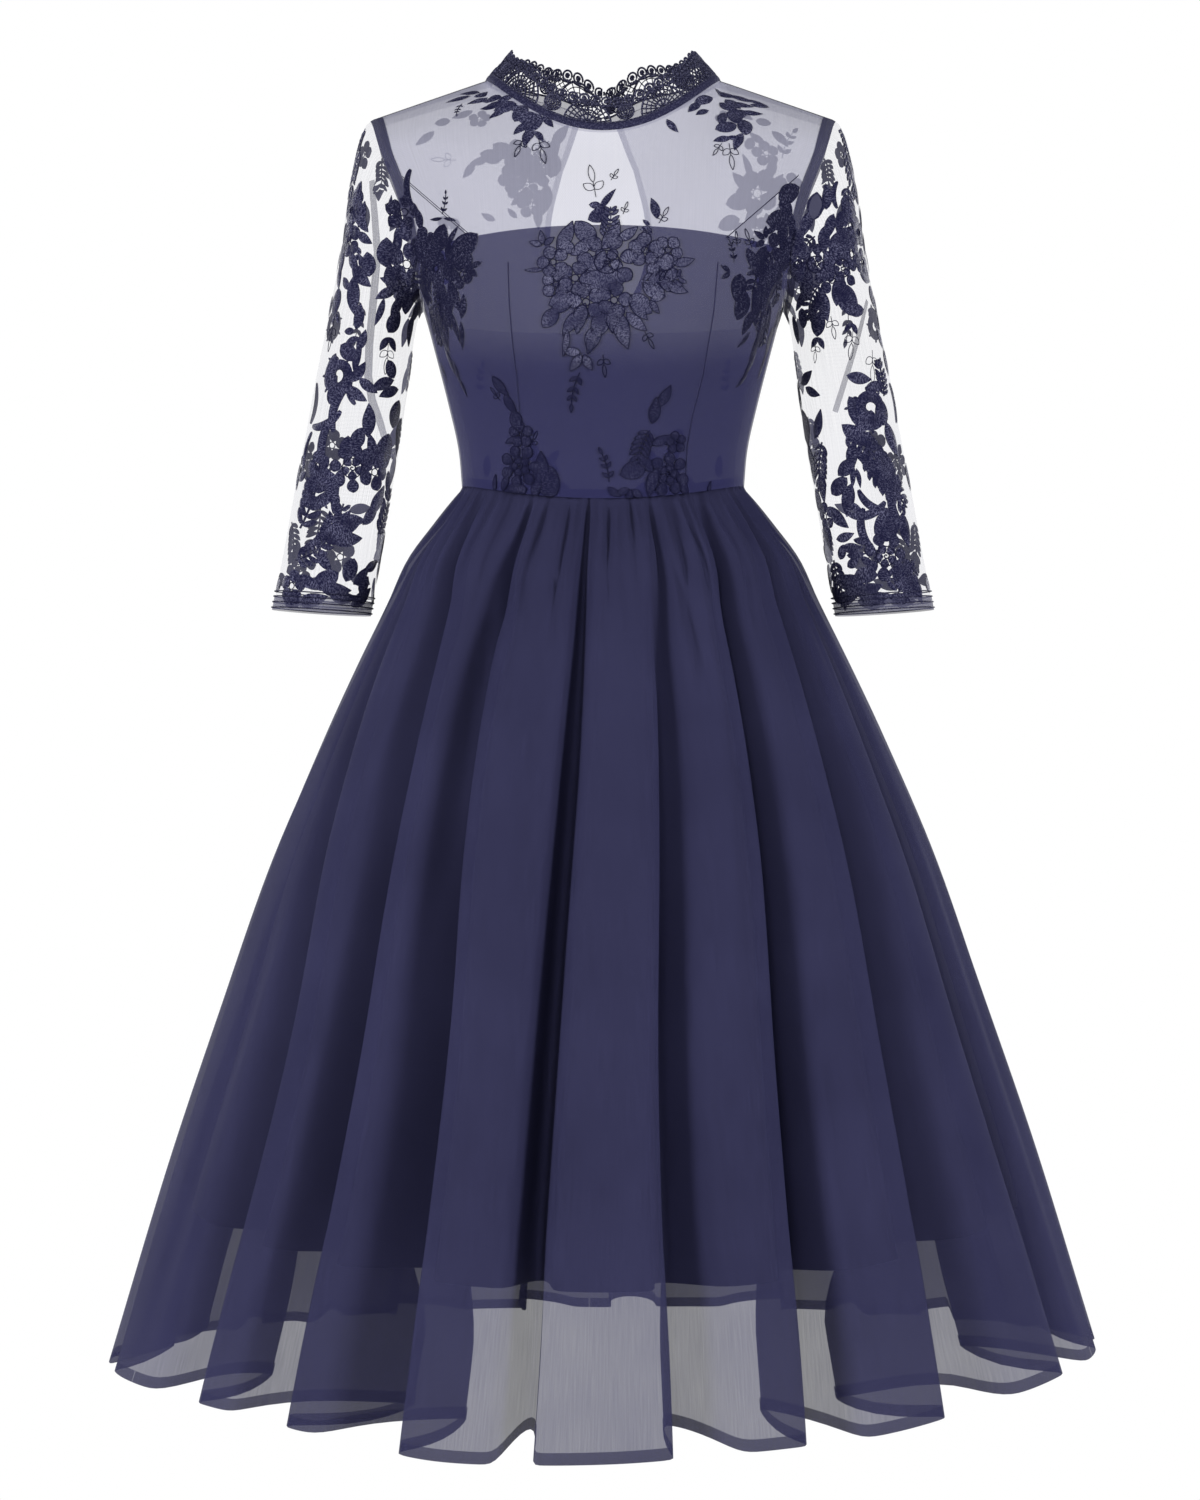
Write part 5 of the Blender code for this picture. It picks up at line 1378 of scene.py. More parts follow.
# Embroidery of the sleeves as it shows in front; the last two are heading and size.
SLEEVE_RIGHT_MOTIFS = (
    (357, 196, "leaf", 250, 28), (362, 214, "leaf", 70, 24), (349, 206, "oval", 262, 24),
    (346, 238, "leaf", 250, 24), (356, 172, "leaf", 262, 22), (342, 262, "leaf", 262, 22),
    (361, 150, "fern", 262, 44), (360, 186, "fern", 265, 48), (352, 210, "flower", 10, 14),
    (362, 222, "leaf", 300, 24), (350, 240, "flower", 30, 16), (364, 238, "leaf", 320, 20),
    (342, 254, "oval", 250, 24), (339, 276, "leaf", 285, 26), (346, 284, "leaf", 310, 18),
    (336, 302, "oval", 265, 26), (336, 314, "pair", 270, 11), (334, 322, "loops", 262, 26),
    (353, 262, "leaf", 300, 24), (360, 276, "leaf", 310, 30), (368, 264, "oval", 95, 22),
    (362, 254, "trio", 200, 12), (353, 296, "leaf", 272, 36), (359, 316, "leaf", 75, 24),
    (349, 331, "oval", 180, 10), (351, 341, "leaf", 205, 16), (362, 340, "leaf", 62, 20),
    (348, 352, "oval", 320, 22), (357, 356, "slim", 80, 30), (338, 374, "scroll", 100, 32),
    (359, 372, "leaf", 50, 22), (355, 390, "vine", 275, 30), (368, 386, "leaf", 320, 22),
    (382, 384, "leaf", 200, 26), (356, 394, "leaf", 320, 24), (389, 392, "leaf", 195, 24),
    # cluster beside the armhole
    (390, 206, "slim", 88, 20), (396, 222, "loops", 70, 16), (397, 240, "leaf", 75, 26),
    (386, 252, "oval", 88, 26), (406, 230, "oval", 95, 20), (407, 264, "flower", 70, 20),
    (389, 274, "leaf", 80, 22), (396, 284, "trio", 160, 14), (386, 293, "leaf", 200, 22),
    (380, 312, "slim", 255, 26), (401, 296, "leaf", 235, 22), (396, 308, "leaf", 240, 24),
    (394, 322, "oval", 60, 22), (408, 302, "oval", 270, 22), (418, 308, "oval", 262, 26),
    (389, 337, "pair", 270, 15), (388, 344, "loops", 268, 26), (391, 369, "oval", 120, 18),
    (403, 284, "flower", 20, 10), (410, 330, "leaf", 268, 30),
    # below the elbow
    (334, 393, "oval", 90, 24), (341, 412, "vine", 255, 44), (325, 416, "vine", 20, 40),
    (330, 446, "vine", 265, 52), (308, 452, "vine", 262, 36), (318, 466, "flower", 30, 14),
    (302, 476, "oval", 20, 14), (320, 490, "scroll", 30, 32), (369, 420, "leaf", 85, 30),
    (358, 438, "oval", 70, 20), (347, 448, "oval", 85, 22), (384, 452, "oval", 80, 34),
    (372, 446, "leaf", 100, 24), (366, 456, "leaf", 200, 30), (352, 468, "rose", 20, 22),
    (374, 472, "flower", 0, 17), (388, 484, "leaf", 280, 24), (395, 414, "oval", 80, 26),
    (398, 436, "leaf", 265, 34), (343, 494, "vine", 268, 44), (335, 504, "leaf", 250, 18),
    (338, 520, "leaf", 85, 24), (354, 520, "leaf", 350, 24), (342, 529, "leaf", 5, 34),
    (346, 539, "leaf", 355, 34), (378, 500, "leaf", 55, 30), (371, 514, "leaf", 50, 26),
    (300, 528, "fern", 75, 62), (318, 548, "fern", 60, 46), (296, 560, "fern", 30, 44),
    (378, 534, "fern", 75, 44), (386, 548, "leaf", 265, 30), (350, 570, "oval", 250, 22),
    (362, 576, "leaf", 40, 24), (372, 566, "leaf", 20, 22), (364, 585, "oval", 60, 18),
    (292, 586, "flower", 10, 16), (308, 582, "leaf", 330, 26), (326, 580, "oval", 30, 26),
    (336, 590, "leaf", 350, 30), (312, 600, "leaf", 5, 30), (344, 598, "leaf", 355, 26),
    (362, 598, "leaf", 30, 30), (376, 590, "vine", 55, 34), (292, 600, "oval", 350, 22),
    (324, 562, "leaf", 300, 22), (386, 570, "leaf", 260, 30),
)
SLEEVE_LEFT_MOTIFS = (
    (850, 168, "leaf", 280, 24), (856, 192, "oval", 272, 24), (861, 218, "leaf", 285, 24),
    (867, 244, "leaf", 280, 22), (845, 206, "leaf", 255, 24), (850, 226, "flower", 10, 16),
    (866, 272, "oval", 280, 20), (840, 222, "leaf", 250, 24), (830, 226, "leaf", 250, 24),
    (868, 452, "fern", 318, 54), (858, 436, "leaf", 325, 36), (884, 476, "leaf", 305, 36),
    (845, 150, "fern", 278, 44), (848, 186, "fern", 275, 48), (838, 196, "vine", 268, 26),
    (852, 214, "leaf", 290, 26), (858, 232, "flower", 20, 14), (846, 236, "leaf", 230, 24),
    (838, 244, "oval", 70, 26), (851, 254, "flower", 40, 15), (862, 262, "flower", 10, 13),
    (866, 278, "leaf", 345, 22), (842, 268, "rose", 10, 20), (838, 290, "leaf", 85, 28),
    (848, 300, "oval", 300, 32), (857, 310, "oval", 10, 18), (852, 323, "pair", 262, 11),
    (853, 330, "loops", 262, 26), (872, 296, "oval", 280, 20), (878, 318, "slim", 285, 26),
    (880, 338, "leaf", 290, 22), (872, 350, "loops", 265, 30), (886, 362, "leaf", 262, 26),
    # cluster beside the armhole
    (815, 206, "oval", 80, 26), (827, 196, "leaf", 85, 24), (806, 224, "leaf", 240, 28),
    (815, 236, "fern", 235, 34), (824, 240, "leaf", 265, 26), (797, 240, "oval", 95, 22),
    (798, 264, "flower", 70, 19), (816, 264, "rose", 30, 18), (830, 262, "leaf", 50, 26),
    (806, 286, "leaf", 245, 28), (820, 284, "fern", 245, 36), (832, 280, "flower", 15, 14),
    (801, 300, "slim", 230, 28), (785, 306, "oval", 275, 24), (803, 318, "oval", 265, 18),
    (814, 308, "leaf", 235, 22), (824, 306, "leaf", 275, 28), (818, 324, "oval", 262, 22),
    (818, 337, "pair", 262, 12), (816, 342, "loops", 262, 18), (831, 316, "loops", 280, 20),
    (796, 330, "leaf", 270, 26),
    # along the inner edge and the elbow
    (806, 378, "leaf", 20, 24), (812, 392, "leaf", 330, 20), (860, 378, "leaf", 350, 26),
    (876, 386, "leaf", 10, 24), (884, 396, "fern", 95, 34), (870, 408, "scroll", 150, 36),
    (882, 412, "oval", 90, 24), (800, 400, "leaf", 268, 34), (806, 428, "oval", 275, 34),
    (818, 424, "leaf", 60, 28), (822, 442, "fern", 262, 44), (812, 462, "leaf", 275, 34),
    # below the elbow
    (849, 428, "fern", 325, 52), (866, 444, "fern", 320, 58), (880, 462, "fern", 310, 50),
    (892, 440, "leaf", 290, 34), (852, 456, "leaf", 262, 26), (846, 468, "oval", 220, 20),
    (839, 486, "oval", 40, 22), (853, 476, "slim", 272, 22), (859, 478, "slim", 285, 18),
    (848, 500, "leaf", 255, 30), (856, 508, "leaf", 320, 16), (868, 506, "vine", 20, 40),
    (876, 500, "vine", 330, 36), (870, 530, "vine", 285, 40), (892, 486, "leaf", 260, 34),
    (900, 508, "vine", 280, 46), (888, 524, "oval", 60, 36), (905, 530, "leaf", 275, 32),
    (822, 486, "leaf", 265, 30), (818, 500, "oval", 100, 22), (826, 516, "flower", 20, 13),
    (838, 518, "leaf", 310, 28), (828, 536, "leaf", 275, 28), (845, 537, "leaf", 10, 20),
    (862, 541, "leaf", 350, 16), (852, 548, "leaf", 355, 22), (842, 552, "oval", 70, 14),
    (856, 555, "leaf", 0, 18), (853, 563, "oval", 30, 13), (868, 562, "leaf", 320, 16),
    (866, 575, "oval", 0, 22), (834, 560, "fern", 290, 44), (828, 580, "leaf", 300, 34),
    (886, 556, "rose", 10, 22), (904, 556, "fern", 280, 40), (884, 580, "fern", 20, 46),
    (906, 584, "leaf", 290, 34), (852, 584, "oval", 350, 26), (868, 590, "leaf", 10, 30),
    (846, 598, "leaf", 0, 30), (876, 600, "leaf", 5, 36), (902, 600, "leaf", 350, 30),
    (836, 596, "leaf", 320, 26), (918, 590, "leaf", 280, 26),
)
# Embroidery of the back of the yoke, as it shows through the front.
BACK_YOKE_MOTIFS = (
    (456, 160, "loops", 180, 26), (469, 170, "leaf", 240, 20), (479, 161, "leaf", 205, 20),
    (491, 156, "oval", 165, 24), (503, 150, "oval", 150, 26), (516, 154, "flower", 20, 17),
    (528, 160, "leaf", 335, 34), (534, 170, "oval", 300, 30), (512, 178, "flower", 50, 16),
    (527, 184, "rose", 10, 24), (542, 178, "fern", 80, 40), (545, 200, "leaf", 265, 34),
    (530, 204, "flower", 30, 15), (519, 198, "leaf", 230, 22), (538, 218, "leaf", 280, 22),
    (488, 217, "leaf", 160, 16), (512, 213, "leaf", 140, 14), (552, 150, "leaf", 70, 34),
    (560, 135, "leaf", 60, 28), (553, 165, "oval", 80, 26), (526, 146, "loops", 330, 26),
    (757, 138, "leaf", 130, 20), (750, 143, "oval", 60, 16), (766, 153, "flower", 20, 15),
    (748, 166, "slim", 100, 30), (771, 170, "leaf", 250, 26), (782, 158, "sprig", 60, 40),
    (757, 193, "flower", 40, 24), (742, 182, "leaf", 140, 28), (739, 201, "oval", 190, 28),
    (775, 186, "leaf", 60, 30), (778, 204, "fern", 290, 40), (752, 214, "leaf", 240, 26),
    (729, 223, "oval", 200, 24), (744, 231, "oval", 330, 24), (768, 226, "leaf", 280, 28),
    (786, 220, "leaf", 80, 30), (764, 176, "oval", 200, 20), (790, 186, "flower", 10, 15),
)
# Embroidery lower on the back, the same on both sides: metres across and up.
BACK_MOTIFS = (
    (0.131, -0.098, "flower", 50, 17), (0.143, -0.110, "leaf", 250, 26),
    (0.139, -0.136, "flower", 0, 14), (0.136, -0.122, "leaf", 250, 22),
    (0.138, -0.158, "leaf", 280, 24),
    (0.064, -0.262, "sprig", 268, 34), (0.104, -0.238, "sprig", 100, 30),
    (0.098, -0.300, "leaf", 95, 24), (0.052, -0.304, "rose", 10, 19),
    (0.072, -0.312, "leaf", 330, 24), (0.034, -0.316, "leaf", 210, 22),
    (0.060, -0.286, "oval", 80, 22), (0.042, -0.290, "leaf", 120, 20),
    (0.118, -0.006, "leaf", 320, 22), (0.135, -0.012, "oval", 340, 16),
    (0.150, -0.024, "leaf", 300, 24), (0.104, -0.008, "flower", 20, 12),
)
# The far side of the sleeves, in rings down and degrees round, the same on both.
SLEEVE_BACK_MOTIFS = (
    (0.5, -40, "fern", 262, 44), (1.6, -20, "flower", 20, 15), (1.2, -80, "leaf", 250, 26),
    (2.0, -120, "flower", 60, 16), (1.4, -145, "leaf", 240, 26), (2.6, -100, "oval", 300, 22),
    (2.6, -50, "leaf", 280, 28), (3.2, -135, "leaf", 265, 30), (3.6, -10, "oval", 270, 24),
    (3.4, -160, "fern", 262, 40), (4.3, -60, "sprig", 268, 38), (4.2, 8, "leaf", 285, 24),
    (4.6, -150, "leaf", 262, 28), (5.2, -20, "scroll", 60, 30), (5.6, -150, "fern", 265, 44),
    (6.0, -50, "leaf", 300, 24), (6.4, -10, "vine", 270, 44), (6.9, -60, "flower", 10, 17),
    (7.0, -155, "leaf", 275, 32), (7.3, -25, "rose", 20, 20), (7.9, -110, "leaf", 10, 26),
    (8.0, -60, "fern", 255, 46), (8.2, -150, "fern", 280, 40), (8.4, -15, "fern", 285, 44),
    (9.0, -95, "flower", 30, 18), (9.2, -45, "rose", 0, 21), (9.4, -130, "leaf", 350, 30),
    (9.5, -75, "leaf", 5, 32), (9.5, -15, "leaf", 350, 30), (9.6, 12, "oval", 0, 24),
    (7.6, 14, "leaf", 262, 30), (2.2, 15, "leaf", 275, 26), (1.0, 12, "fern", 268, 40),
    (8.9, -160, "oval", 20, 26), (5.0, 12, "oval", 270, 22), (6.2, -140, "leaf", 250, 24),
)


def embroider(name, jobs, thread, reverse=False, outlined=False):
    """One object from many motifs: (skin, place, motif, heading, size in metres)."""
    out = Stitches(reverse, outlined)
    for skin, place, motif, heading, size in jobs:
        MOTIFS[motif](out, Chart(skin, place), heading, size)
    obj = make_piece(name, out.vertices, out.faces, out.uvs, thread, "net")
    obj.data.materials.append(REVERSE)
    obj.data.materials.append(OUTLINE)
    obj.data.polygons.foreach_set("material_index", out.looks)
    return obj


def mirrored(heading, side):
    return heading if side > 0 else 180 - heading


def pixel_jobs(skin, table, scale=1.0, far=False):
    """Jobs from a table in pixels; those on the far side are drawn as seen from behind."""
    return [(skin, skin.seen(x, y, far), motif, 180 - heading if far else heading,
             size * PIXEL * scale) for x, y, motif, heading, size in table]


def make_embroidery():
    """The embroidery of each panel of net, in a table by panel."""
    bouquet = [motif for motif in BODICE_MOTIFS if motif[1] < WAIST_SPRAYS_Y]
    sprays = [motif for motif in BODICE_MOTIFS if motif[1] >= WAIST_SPRAYS_Y]
    made = {"front": [
        embroider("embroidery_" + name, pixel_jobs(skin, table, scale), thread, outlined=outlined)
        for name, skin, table, scale, thread, outlined in (
            ("yoke", TORSO_SKIN, YOKE_MOTIFS, 1.18, THREAD, False),
            ("bouquet", TORSO_SKIN, bouquet, 1.12, SOFT_THREAD, True),
            ("waist", TORSO_SKIN, sprays, 1.10, WAIST_THREAD, True),
            ("armholes", WHOLE_SKIN, ARMHOLE_MOTIFS, 1.22, DEEP_THREAD, False),
        )]}
    jobs = pixel_jobs(TORSO_SKIN, BACK_YOKE_MOTIFS, far=True)
    jobs += [(TORSO_SKIN, TORSO_SKIN.behind(x * side, z), motif, mirrored(heading, -side),
              size * PIXEL)
             for x, z, motif, heading, size in BACK_MOTIFS for side in (-1, 1)]
    made["back"] = [embroider("embroidery_back", jobs, THREAD, reverse=True)]
    for (name, side), table in zip(SIDES, (SLEEVE_LEFT_MOTIFS, SLEEVE_RIGHT_MOTIFS)):
        skin = SLEEVE_SKINS[name]
        jobs = pixel_jobs(skin, table, 1.12)
        jobs += [(skin, sleeve_point(ring, turn) * np.array((side, 1.0, 1.0)), motif,
                  mirrored(heading, side), size * PIXEL)
                 for ring, turn, motif, heading, size in SLEEVE_BACK_MOTIFS]
        made["sleeve_" + name] = [embroider("embroidery_sleeve_" + name, jobs, THREAD,
                                            reverse=True)]
    return made


# ---------------------------------------------------------------- trims

def ribbon(name, skin, path, width, material, lift=0.0006):
    """A strip of cloth laid flat along a line of places on the surface."""
    spots = [skin.nearest(point) for point in path]
    tangent = np.gradient(np.array([place for place, _ in spots]), axis=0)
    rows = []
    for (place, normal), onward in zip(spots, tangent):
        side = unit(np.cross(onward, normal))
        rows.append([skin.over(place + side * width * (k / 3 - 0.5), lift) for k in range(4)])
    points = np.array(rows)
    obj = make_panel(name, points, material, "net")
    wide, length, area = cut_of(points)
    wide = max(wide, NARROWEST_SHEET)
    round(min(max(area, LEAST_AREA_SHARE * wide * length), wide * length), 6)
    return obj


def tube_mesh(paths, radius, sides=5):
    """Vertices, faces and uvs of plain tubes along 3-D paths."""
    vertices = []
    faces = []
    uvs = []
    for path in paths:
        path = np.array(path)
        tangent = np.gradient(path, axis=0)
        faces.extend(grid_faces(len(path), sides + 1, len(vertices)))
        run = 0.0
        for i, point in enumerate(path):
            run += float(np.linalg.norm(point - path[max(i - 1, 0)]))
            aim = unit(tangent[i])
            helper = np.array((0.0, 0.0, 1.0)) if abs(aim[2]) < 0.9 else np.array((1.0, 0.0, 0.0))
            side = unit(np.cross(aim, helper))
            vertices.extend(ring_round(point, side, np.cross(aim, side), radius, sides))
            uvs.extend((run, 2 * math.pi * k / sides * radius) for k in range(sides + 1))
    return vertices, faces, uvs


# Lines of the bodice and the sleeves, by pixel of the 1200 x 1500 frame.
PRINCESS_SEAMS = (             # as they show through the net
    ((508, 262), (509, 300), (512, 337), (517, 380), (521, 430), (524, 494)),
    ((718, 262), (714, 310), (703, 376), (692, 418), (687, 447), (685, 493)),
)
YOKE_THREAD = ((402, 176), (474, 238))     # on the wearer's right; the left mirrors it
SLEEVE_SEAMS = (               # on the far side: side, width in metres, steps a stretch, places
    ("right", 0.0070, 4, ((371, 180), (374, 215), (377, 253), (373, 300), (369, 345), (368, 376),
                          (372, 400), (381, 424), (388, 447))),
    ("left", 0.0050, 5, ((868, 300), (862, 325), (855, 350), (846, 378), (835, 412))),
)
SEAM_RADIUS = 0.0005
ARMHOLE_TAPE_WIDTH = 0.0104
SHOULDER_SEAM_WIDTH = 0.0034
YOKE_THREAD_RADIUS = 0.0003
YOKE_THREAD_GAP = 0.0012       # between the two threads of the pair
BINDING_WIDTH = 0.0052
BINDING_IN = 0.0024            # from the keyhole's edge to the middle of its binding
BINDING_LEVELS = (4.25, 9.9)
CUFF_BAND_RING = 9.9
CUFF_BAND_WIDTH = 0.0125
CUFF_BAND_LIFT = 0.0007
CUFF_STITCH_RINGS = (9.70, 9.78, 9.87, 9.96)
CUFF_STITCH_RADIUS = 0.00055
CUFF_STITCH_LIFT = 0.0013


def round_sleeve(ring, count, side):
    """Places round a sleeve at one of its rings; side is 1 left, -1 right."""
    return [sleeve_point(ring, turn) * np.array((side, 1.0, 1.0))
            for turn in np.linspace(-180, 180, count)]


def make_trims():
    """Seams, bindings and stitched rows at the cuffs, in a table by panel of net."""
    made = {"left": [], "right": [], "back": []}
    seams = []
    for places in PRINCESS_SEAMS:
        xs, ys = zip(*places)
        heights = np.linspace(ys[0], ys[-1], 40)
        seams.append([TORSO_SKIN.seen(x, y) for x, y in zip(np.interp(heights, ys, xs), heights)])
    make_piece("princess_seams", *tube_mesh(seams, SEAM_RADIUS), SEAM, "net")
    for name, side in SIDES:
        flip = np.array((side, 1.0, 1.0))
        shoulder = [mix(neck_point(90.0), SHOULDER_TIP, t) * flip
                    for t in np.linspace(0.0, 1.0, 17)]
        (start_x, start_y), (end_x, end_y) = YOKE_THREAD
        middle_x = FRAME_MIDDLE[0]
        line = [TORSO_SKIN.seen(middle_x + side * (middle_x - mix(start_x, end_x, t)),
                                mix(start_y, end_y, t)) for t in np.linspace(0.0, 1.0, 14)]
        pair = [[TORSO_SKIN.nearest(point + np.array((shift, 0.0, shift)))[0] for point in line]
                for shift in (0.0, YOKE_THREAD_GAP * side)]
        rings = [[WHOLE_SKIN.over(place, CUFF_STITCH_LIFT)
                  for place in round_sleeve(ring, 61, side)] for ring in CUFF_STITCH_RINGS]
        made[name] += [
            ribbon("armhole_seam_" + name, WHOLE_SKIN, round_sleeve(0.0, 73, side),
                   ARMHOLE_TAPE_WIDTH, ARMHOLE_TAPE),
            ribbon("shoulder_seam_" + name, TORSO_SKIN, shoulder, SHOULDER_SEAM_WIDTH, SEAM),
            make_piece("loop_thread_" + name, *tube_mesh(pair, YOKE_THREAD_RADIUS, 4), OUTLINE,
                       "net"),
            ribbon("cuff_band_" + name, SLEEVE_SKINS[name],
                   round_sleeve(CUFF_BAND_RING, 49, side), CUFF_BAND_WIDTH, BINDING,
                   CUFF_BAND_LIFT),
            make_piece("cuff_stitching_" + name, *tube_mesh(rings, CUFF_STITCH_RADIUS), THREAD,
                       "net"),
        ]
    for name, width, steps, bends in SLEEVE_SEAMS:
        places = [mix(np.array(a), np.array(b), t / steps)
                  for a, b in zip(bends, bends[1:]) for t in range(steps)] + [bends[-1]]
        skin = SLEEVE_SKINS[name]
        path = [skin.seen(x, y, far=True) for x, y in places]
        made[name].append(ribbon("sleeve_seam_" + name, skin, path, width, BINDING, -0.0006))
    for name, side in SIDES:
        edge = [torso_point(level, 0.0, True, NET_OUT, keyhole_edge(level, side) + BINDING_IN)
                * np.array((side, 1.0, 1.0)) for level in np.linspace(*BINDING_LEVELS, 46)]
        made["back"].append(ribbon("keyhole_binding_" + name, TORSO_SKIN, edge, BINDING_WIDTH,
                                   BINDING))
    return made


# ---------------------------------------------------------------- collar of corded lace

LACE_TOP = 0.0310              # metres up the collar's slant
LACE_BASE = 0.0060
LACE_RISE = LACE_TOP - LACE_BASE
ROSETTE_HEIGHT = LACE_BASE + 0.0085
ROSETTE_RADII = (0.0014, 0.0034, 0.0052, 0.0068)
MESH_TOP = LACE_TOP - 0.0070
MESH_PITCH = 0.0048
FAN_ARCS = (0.30, 0.47, 0.64, 0.80)            # shares of a fan's size
LACE_THICK = 0.00092           # radius of the thick cords
FAN_HALF = (FAN_END - FAN_START) / 2 * REPEAT_DEGREES
DEGREES_A_METRE = math.degrees(1 / 0.0865)     # round the collar


def fan_place(middle, turn, share):
    """A place in the fan round a middle: its turn in radians, its share of the fan's size."""
    return (middle - math.cos(turn) * FAN_HALF * share,
            LACE_BASE + math.sin(turn) * LACE_RISE * share)


def ring_places(degrees, height, radius, count):
    return [(degrees + math.cos(a) * radius * DEGREES_A_METRE, height + math.sin(a) * radius)
            for a in np.linspace(0, 2 * math.pi, count)]


def mesh_lines(rosette, lowest):
    """Crossed lines round a rosette, broken where it or a fan is in the way."""
    middle = rosette + REPEAT_DEGREES / 2
    for slope in (-1, 1):
        for k in range(-5, 15):
            line = []
            for i in range(25):
                h = mix(LACE_BASE, MESH_TOP, i / 24)
                d = rosette + (k * MESH_PITCH + slope * (h - LACE_BASE)) * DEGREES_A_METRE
                fan = math.hypot((d - middle) / FAN_HALF, (h - LACE_BASE) / LACE_RISE)
                past = math.hypot((d - rosette) / DEGREES_A_METRE, h - ROSETTE_HEIGHT)
                if (fan > FAN_ARCS[-1] and past > 0.0066 and abs(d) > 40 and h >= lowest
                        and rosette - 3 <= d <= rosette + REPEAT_DEGREES):
                    line.append((d, h))
                elif line:
                    yield line
                    line = []
            yield line


def lace_parts(start, end):
    """Cords of the collar between two angles: fans, rings, mesh, rosettes and filling bars."""
    thick = []
    thin = []
    back = abs(start + end) > 180      # the backs are seen through the front, so they are opener
    spokes = 8 if back else 13

    def put(group, path, lift=0.0):
        inside = [(d, h) for d, h in path if start <= d <= end]
        if len(inside) >= 3:
            group.append([collar_at(d, h, lift) for d, h in inside])

    def put_spokes(group, middle, count, shares, lift=0.0):
        for k in range(count):
            turn = math.pi * (k + 0.5) / count
            put(group, [fan_place(middle, turn, share) for share in shares], lift)

    for repeat in range(math.floor((start - ROSETTE_DEGREES) / REPEAT_DEGREES),
                        math.ceil((end - ROSETTE_DEGREES) / REPEAT_DEGREES) + 1):
        rosette = ROSETTE_DEGREES + repeat * REPEAT_DEGREES
        middle = rosette + REPEAT_DEGREES / 2
        put_spokes(thin, middle, spokes,
                   [mix(FAN_ARCS[0], FAN_ARCS[-1], i / 8) for i in range(9)])
        for share, group in zip(FAN_ARCS, (thick, thin, thin, thick)):
            put(group, [fan_place(middle, math.pi * i / 26, share) for i in range(27)], 0.0004)
        for k in range(-RINGS // 2, RINGS // 2):
            spot = middle + (k + 0.5) * REPEAT_DEGREES / RINGS
            swell = math.cos(2 * math.pi * (spot - middle) / REPEAT_DEGREES)
            top = LACE_TOP - RING_SIZE + 0.0016 * swell
            for radius in (RING_SIZE, RING_SIZE * 0.36, 0.0006):
                put(thick, ring_places(spot, top, radius, 17), 0.0003)
            put(thick, [(spot + t * REPEAT_DEGREES / RINGS / 2,
                         top - RING_SIZE - 0.0010 * (1 - t * t))
                        for t in (-1.0, -0.5, 0.0, 0.5, 1.0)], 0.0003)
        put_spokes(thick, middle, 5, (0.05, 0.12, 0.2, 0.27), 0.0005)
        for line in mesh_lines(rosette, LACE_TOP * 0.50 if back else LACE_BASE):
            put(thin, line)
        for radius, group in zip(ROSETTE_RADII, (thick, thick, thin, thick)):
            put(group, ring_places(rosette, ROSETTE_HEIGHT, radius, 21), 0.0005)
        for k in range(12):
            a = 2 * math.pi * k / 12
            put(thin, [(rosette + math.cos(a) * r * DEGREES_A_METRE,
                        ROSETTE_HEIGHT + math.sin(a) * r) for r in (0.0036, 0.0050, 0.0066)],
                0.0003)
        for k in range(-3, 4):
            for lean in (-1, 1):
                put(thin, [(rosette + (k * 0.0022 + lean * 0.0016 * t) * DEGREES_A_METRE,
                            mix(LACE_BASE + 0.0150, LACE_TOP * 0.93, t)) for t in (0.0, 0.5, 1.0)])
    put(thick, [(d, LACE_BASE - 0.0002) for d in np.linspace(start, end, 90)], 0.0004)
    return thick, thin


FRONT_START = ROSETTE_DEGREES - 3 * REPEAT_DEGREES
FRONT_END = ROSETTE_DEGREES + 2 * REPEAT_DEGREES
# The collar's parts: start and end in degrees, radius of the thin cords, the tape's share of its
# full height, and its cloth.
COLLARS = (
    ("front", FRONT_START, FRONT_END, 0.00062, 1.0, TAPE),
    ("back_left", FRONT_END, 179.6, 0.00046, 0.90, BINDING),
    ("back_right", -179.6, FRONT_START, 0.00046, 0.90, BINDING),
)
BAND_ROWS = (                  # height and lift of the tape under the lace
    (-0.0010, 0.0004), (0.0014, 0.0011), (0.0032, 0.0012), (0.0048, 0.0010), (0.0062, 0.0002),
)


def make_collar():
    """The lace of the stand collar's three parts, on the tape that they are sewn to."""
    for name, start, end, fine, share, band in COLLARS:
        thick, thin = lace_parts(start, end)
        vertices, faces, uvs = tube_mesh(thick, LACE_THICK)
        more, more_faces, more_uvs = tube_mesh(thin, fine, 4)
        faces += [tuple(i + len(vertices) for i in face) for face in more_faces]
        lace = make_piece("lace_" + name, vertices + more, faces, uvs + more_uvs, CORD, "lace",
                          ["collar_" + name])
        points = np.array([[collar_at(angle, height * share, lift)
                            for angle in np.arange(start, end + 0.01, 1.0)]
                           for height, lift in BAND_ROWS])
        tape = make_panel("collar_tape_" + name, points, band, "lace")
        length, _, area = cut_of(points)


def make_button():
    """The button keeps its solid and takes the look of covered cloth."""
    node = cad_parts["collar_button"]
    obj = node if isinstance(node, bpy.types.Object) else bpy.data.objects["collar_button"]
    for spot in obj.material_slots:
        spot.material = BUTTON


# ---------------------------------------------------------------- the dress

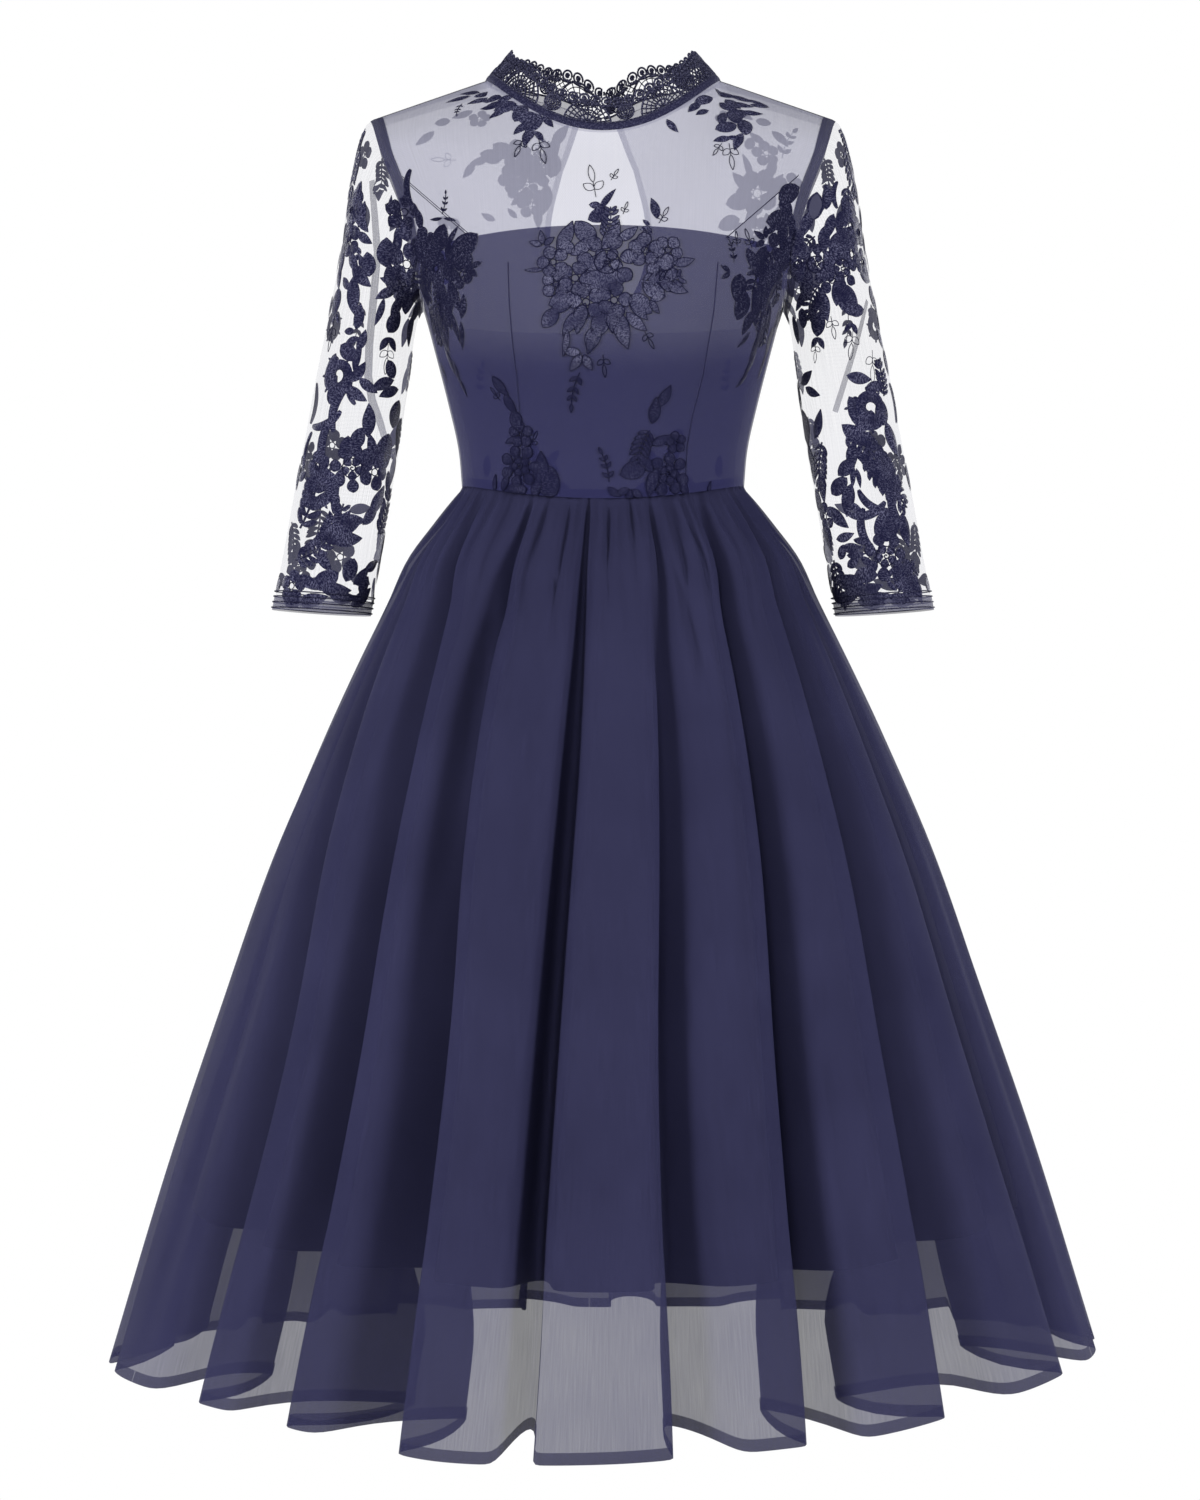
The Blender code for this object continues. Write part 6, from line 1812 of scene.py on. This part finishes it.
make_skirt()
make_bodice()
embroidery = make_embroidery()
trims = make_trims()
for name, points, under, covered, pieces in (
    ("front", NET_FRONT, "bodice_centre_front", FRONT_COVERED, embroidery["front"]),
    ("back_left", NET_BACK_LEFT, "bodice_back_left", BACK_COVERED,
     embroidery["back"] + trims["back"]),
    ("back_right", NET_BACK_RIGHT, "bodice_back_right", BACK_COVERED, ()),
):
    # Above the bodice the net takes its pale painted backlight glow, and at the neck and shoulder
    # edge a dimmer painted glow.
    cloth("net_" + name, points, COVER_NET, "net", ["overlay_" + name], "stretched",
          with_pieces=pieces, zones=((covered, YOKE_NET_PAINTED_BACKLIGHT), (NECK_EDGE_ROW, EDGE_NET_PAINTED_GLOW)))
for name, points in (("left", SLEEVE_LEFT), ("right", SLEEVE_RIGHT)):
    cloth("net_sleeve_" + name, points, SLEEVE_NET_PAINTED_BACKLIGHT, "net", ["sleeve_" + name], "hung",
          with_pieces=embroidery["sleeve_" + name] + trims[name])
make_collar()
make_button()

# ---------------------------------------------------------------- studio

world = bpy.data.worlds.new("studio")
bpy.context.scene.world = world
world.use_nodes = True
nodes = world.node_tree.nodes
links = world.node_tree.links
chooser = nodes.new("ShaderNodeMixShader")
for number, node, colour, strength in (
    (1, nodes.new("ShaderNodeBackground"), (0.97, 0.98, 1.0, 1.0), 0.22),    # lights the dress
    (2, nodes["Background"], (1.0, 1.0, 1.0, 1.0), 1.0),                     # seen past it
):
    node.inputs["Color"].default_value = colour
    node.inputs["Strength"].default_value = strength
    links.new(node.outputs[0], chooser.inputs[number])
links.new(nodes.new("ShaderNodeLightPath").outputs["Is Camera Ray"], chooser.inputs[0])
links.new(chooser.outputs[0], nodes["World Output"].inputs[0])


def softbox(name, place, aim, size, power):
    light = bpy.data.lights.new(name, "AREA")
    light.shape = "RECTANGLE"
    light.size = size[0]
    light.size_y = size[1]
    light.energy = power
    obj = bpy.data.objects.new(name, light)
    obj.location = place
    obj.rotation_euler = (Vector(aim) - Vector(place)).to_track_quat("-Z", "Y").to_euler()
    bpy.context.scene.collection.objects.link(obj)


for name, place, aim_z, size, power in (
    ("left", (-3.3, -2.0, 0.2), -0.6, (1.2, 1.6), 118.0),
    ("right", (3.3, -2.0, 0.2), -0.6, (1.2, 1.6), 112.0),
    ("front", (-0.6, -3.5, 0.9), -0.5, (1.0, 1.0), 34.0),
    ("behind_left", (-2.4, 3.2, 0.3), -0.5, (1.2, 1.6), 62.0),
    ("behind_right", (2.4, 3.2, 0.3), -0.5, (1.2, 1.6), 62.0),
):
    softbox(name, place, (0.0, 0.0, aim_z), size, power)

FLOOR_RADIUS = 1.2
FLOOR_Z = -1.43
floor_mesh = bpy.data.meshes.new("studio_floor")
rim = [(FLOOR_RADIUS * math.cos(a), FLOOR_RADIUS * math.sin(a), FLOOR_Z)
       for a in np.linspace(0, 2 * math.pi, 65)[:-1]]
floor_mesh.from_pydata(rim, [], [tuple(range(len(rim)))])
floor = bpy.data.objects.new("studio_floor", floor_mesh)
bpy.context.scene.collection.objects.link(floor)
paper = Finish("studio_paper", (0.86, 0.86, 0.86), 0.9, 0.1)
grain = paper.noise((60.0, 60.0, 60.0), "Object", detail=4.0)
paper.feed("Base Color", paper.blend(grain, (0.84, 0.84, 0.84), (0.88, 0.88, 0.88)))
floor_mesh.materials.append(paper.material)

camera = bpy.data.cameras.new("photo_view")
camera.lens = 86.7
camera.sensor_width = 36.0
camera.clip_start = 0.05
view = bpy.data.objects.new("photo_view", camera)
view.location = EYE
view.rotation_euler = (math.radians(90), 0.0, 0.0)
bpy.context.scene.collection.objects.link(view)
bpy.context.scene.camera = view
bpy.context.scene.view_settings.view_transform = "Standard"
if hasattr(bpy.context.scene, "cycles"):
    bpy.context.scene.cycles.transparent_max_bounces = 24
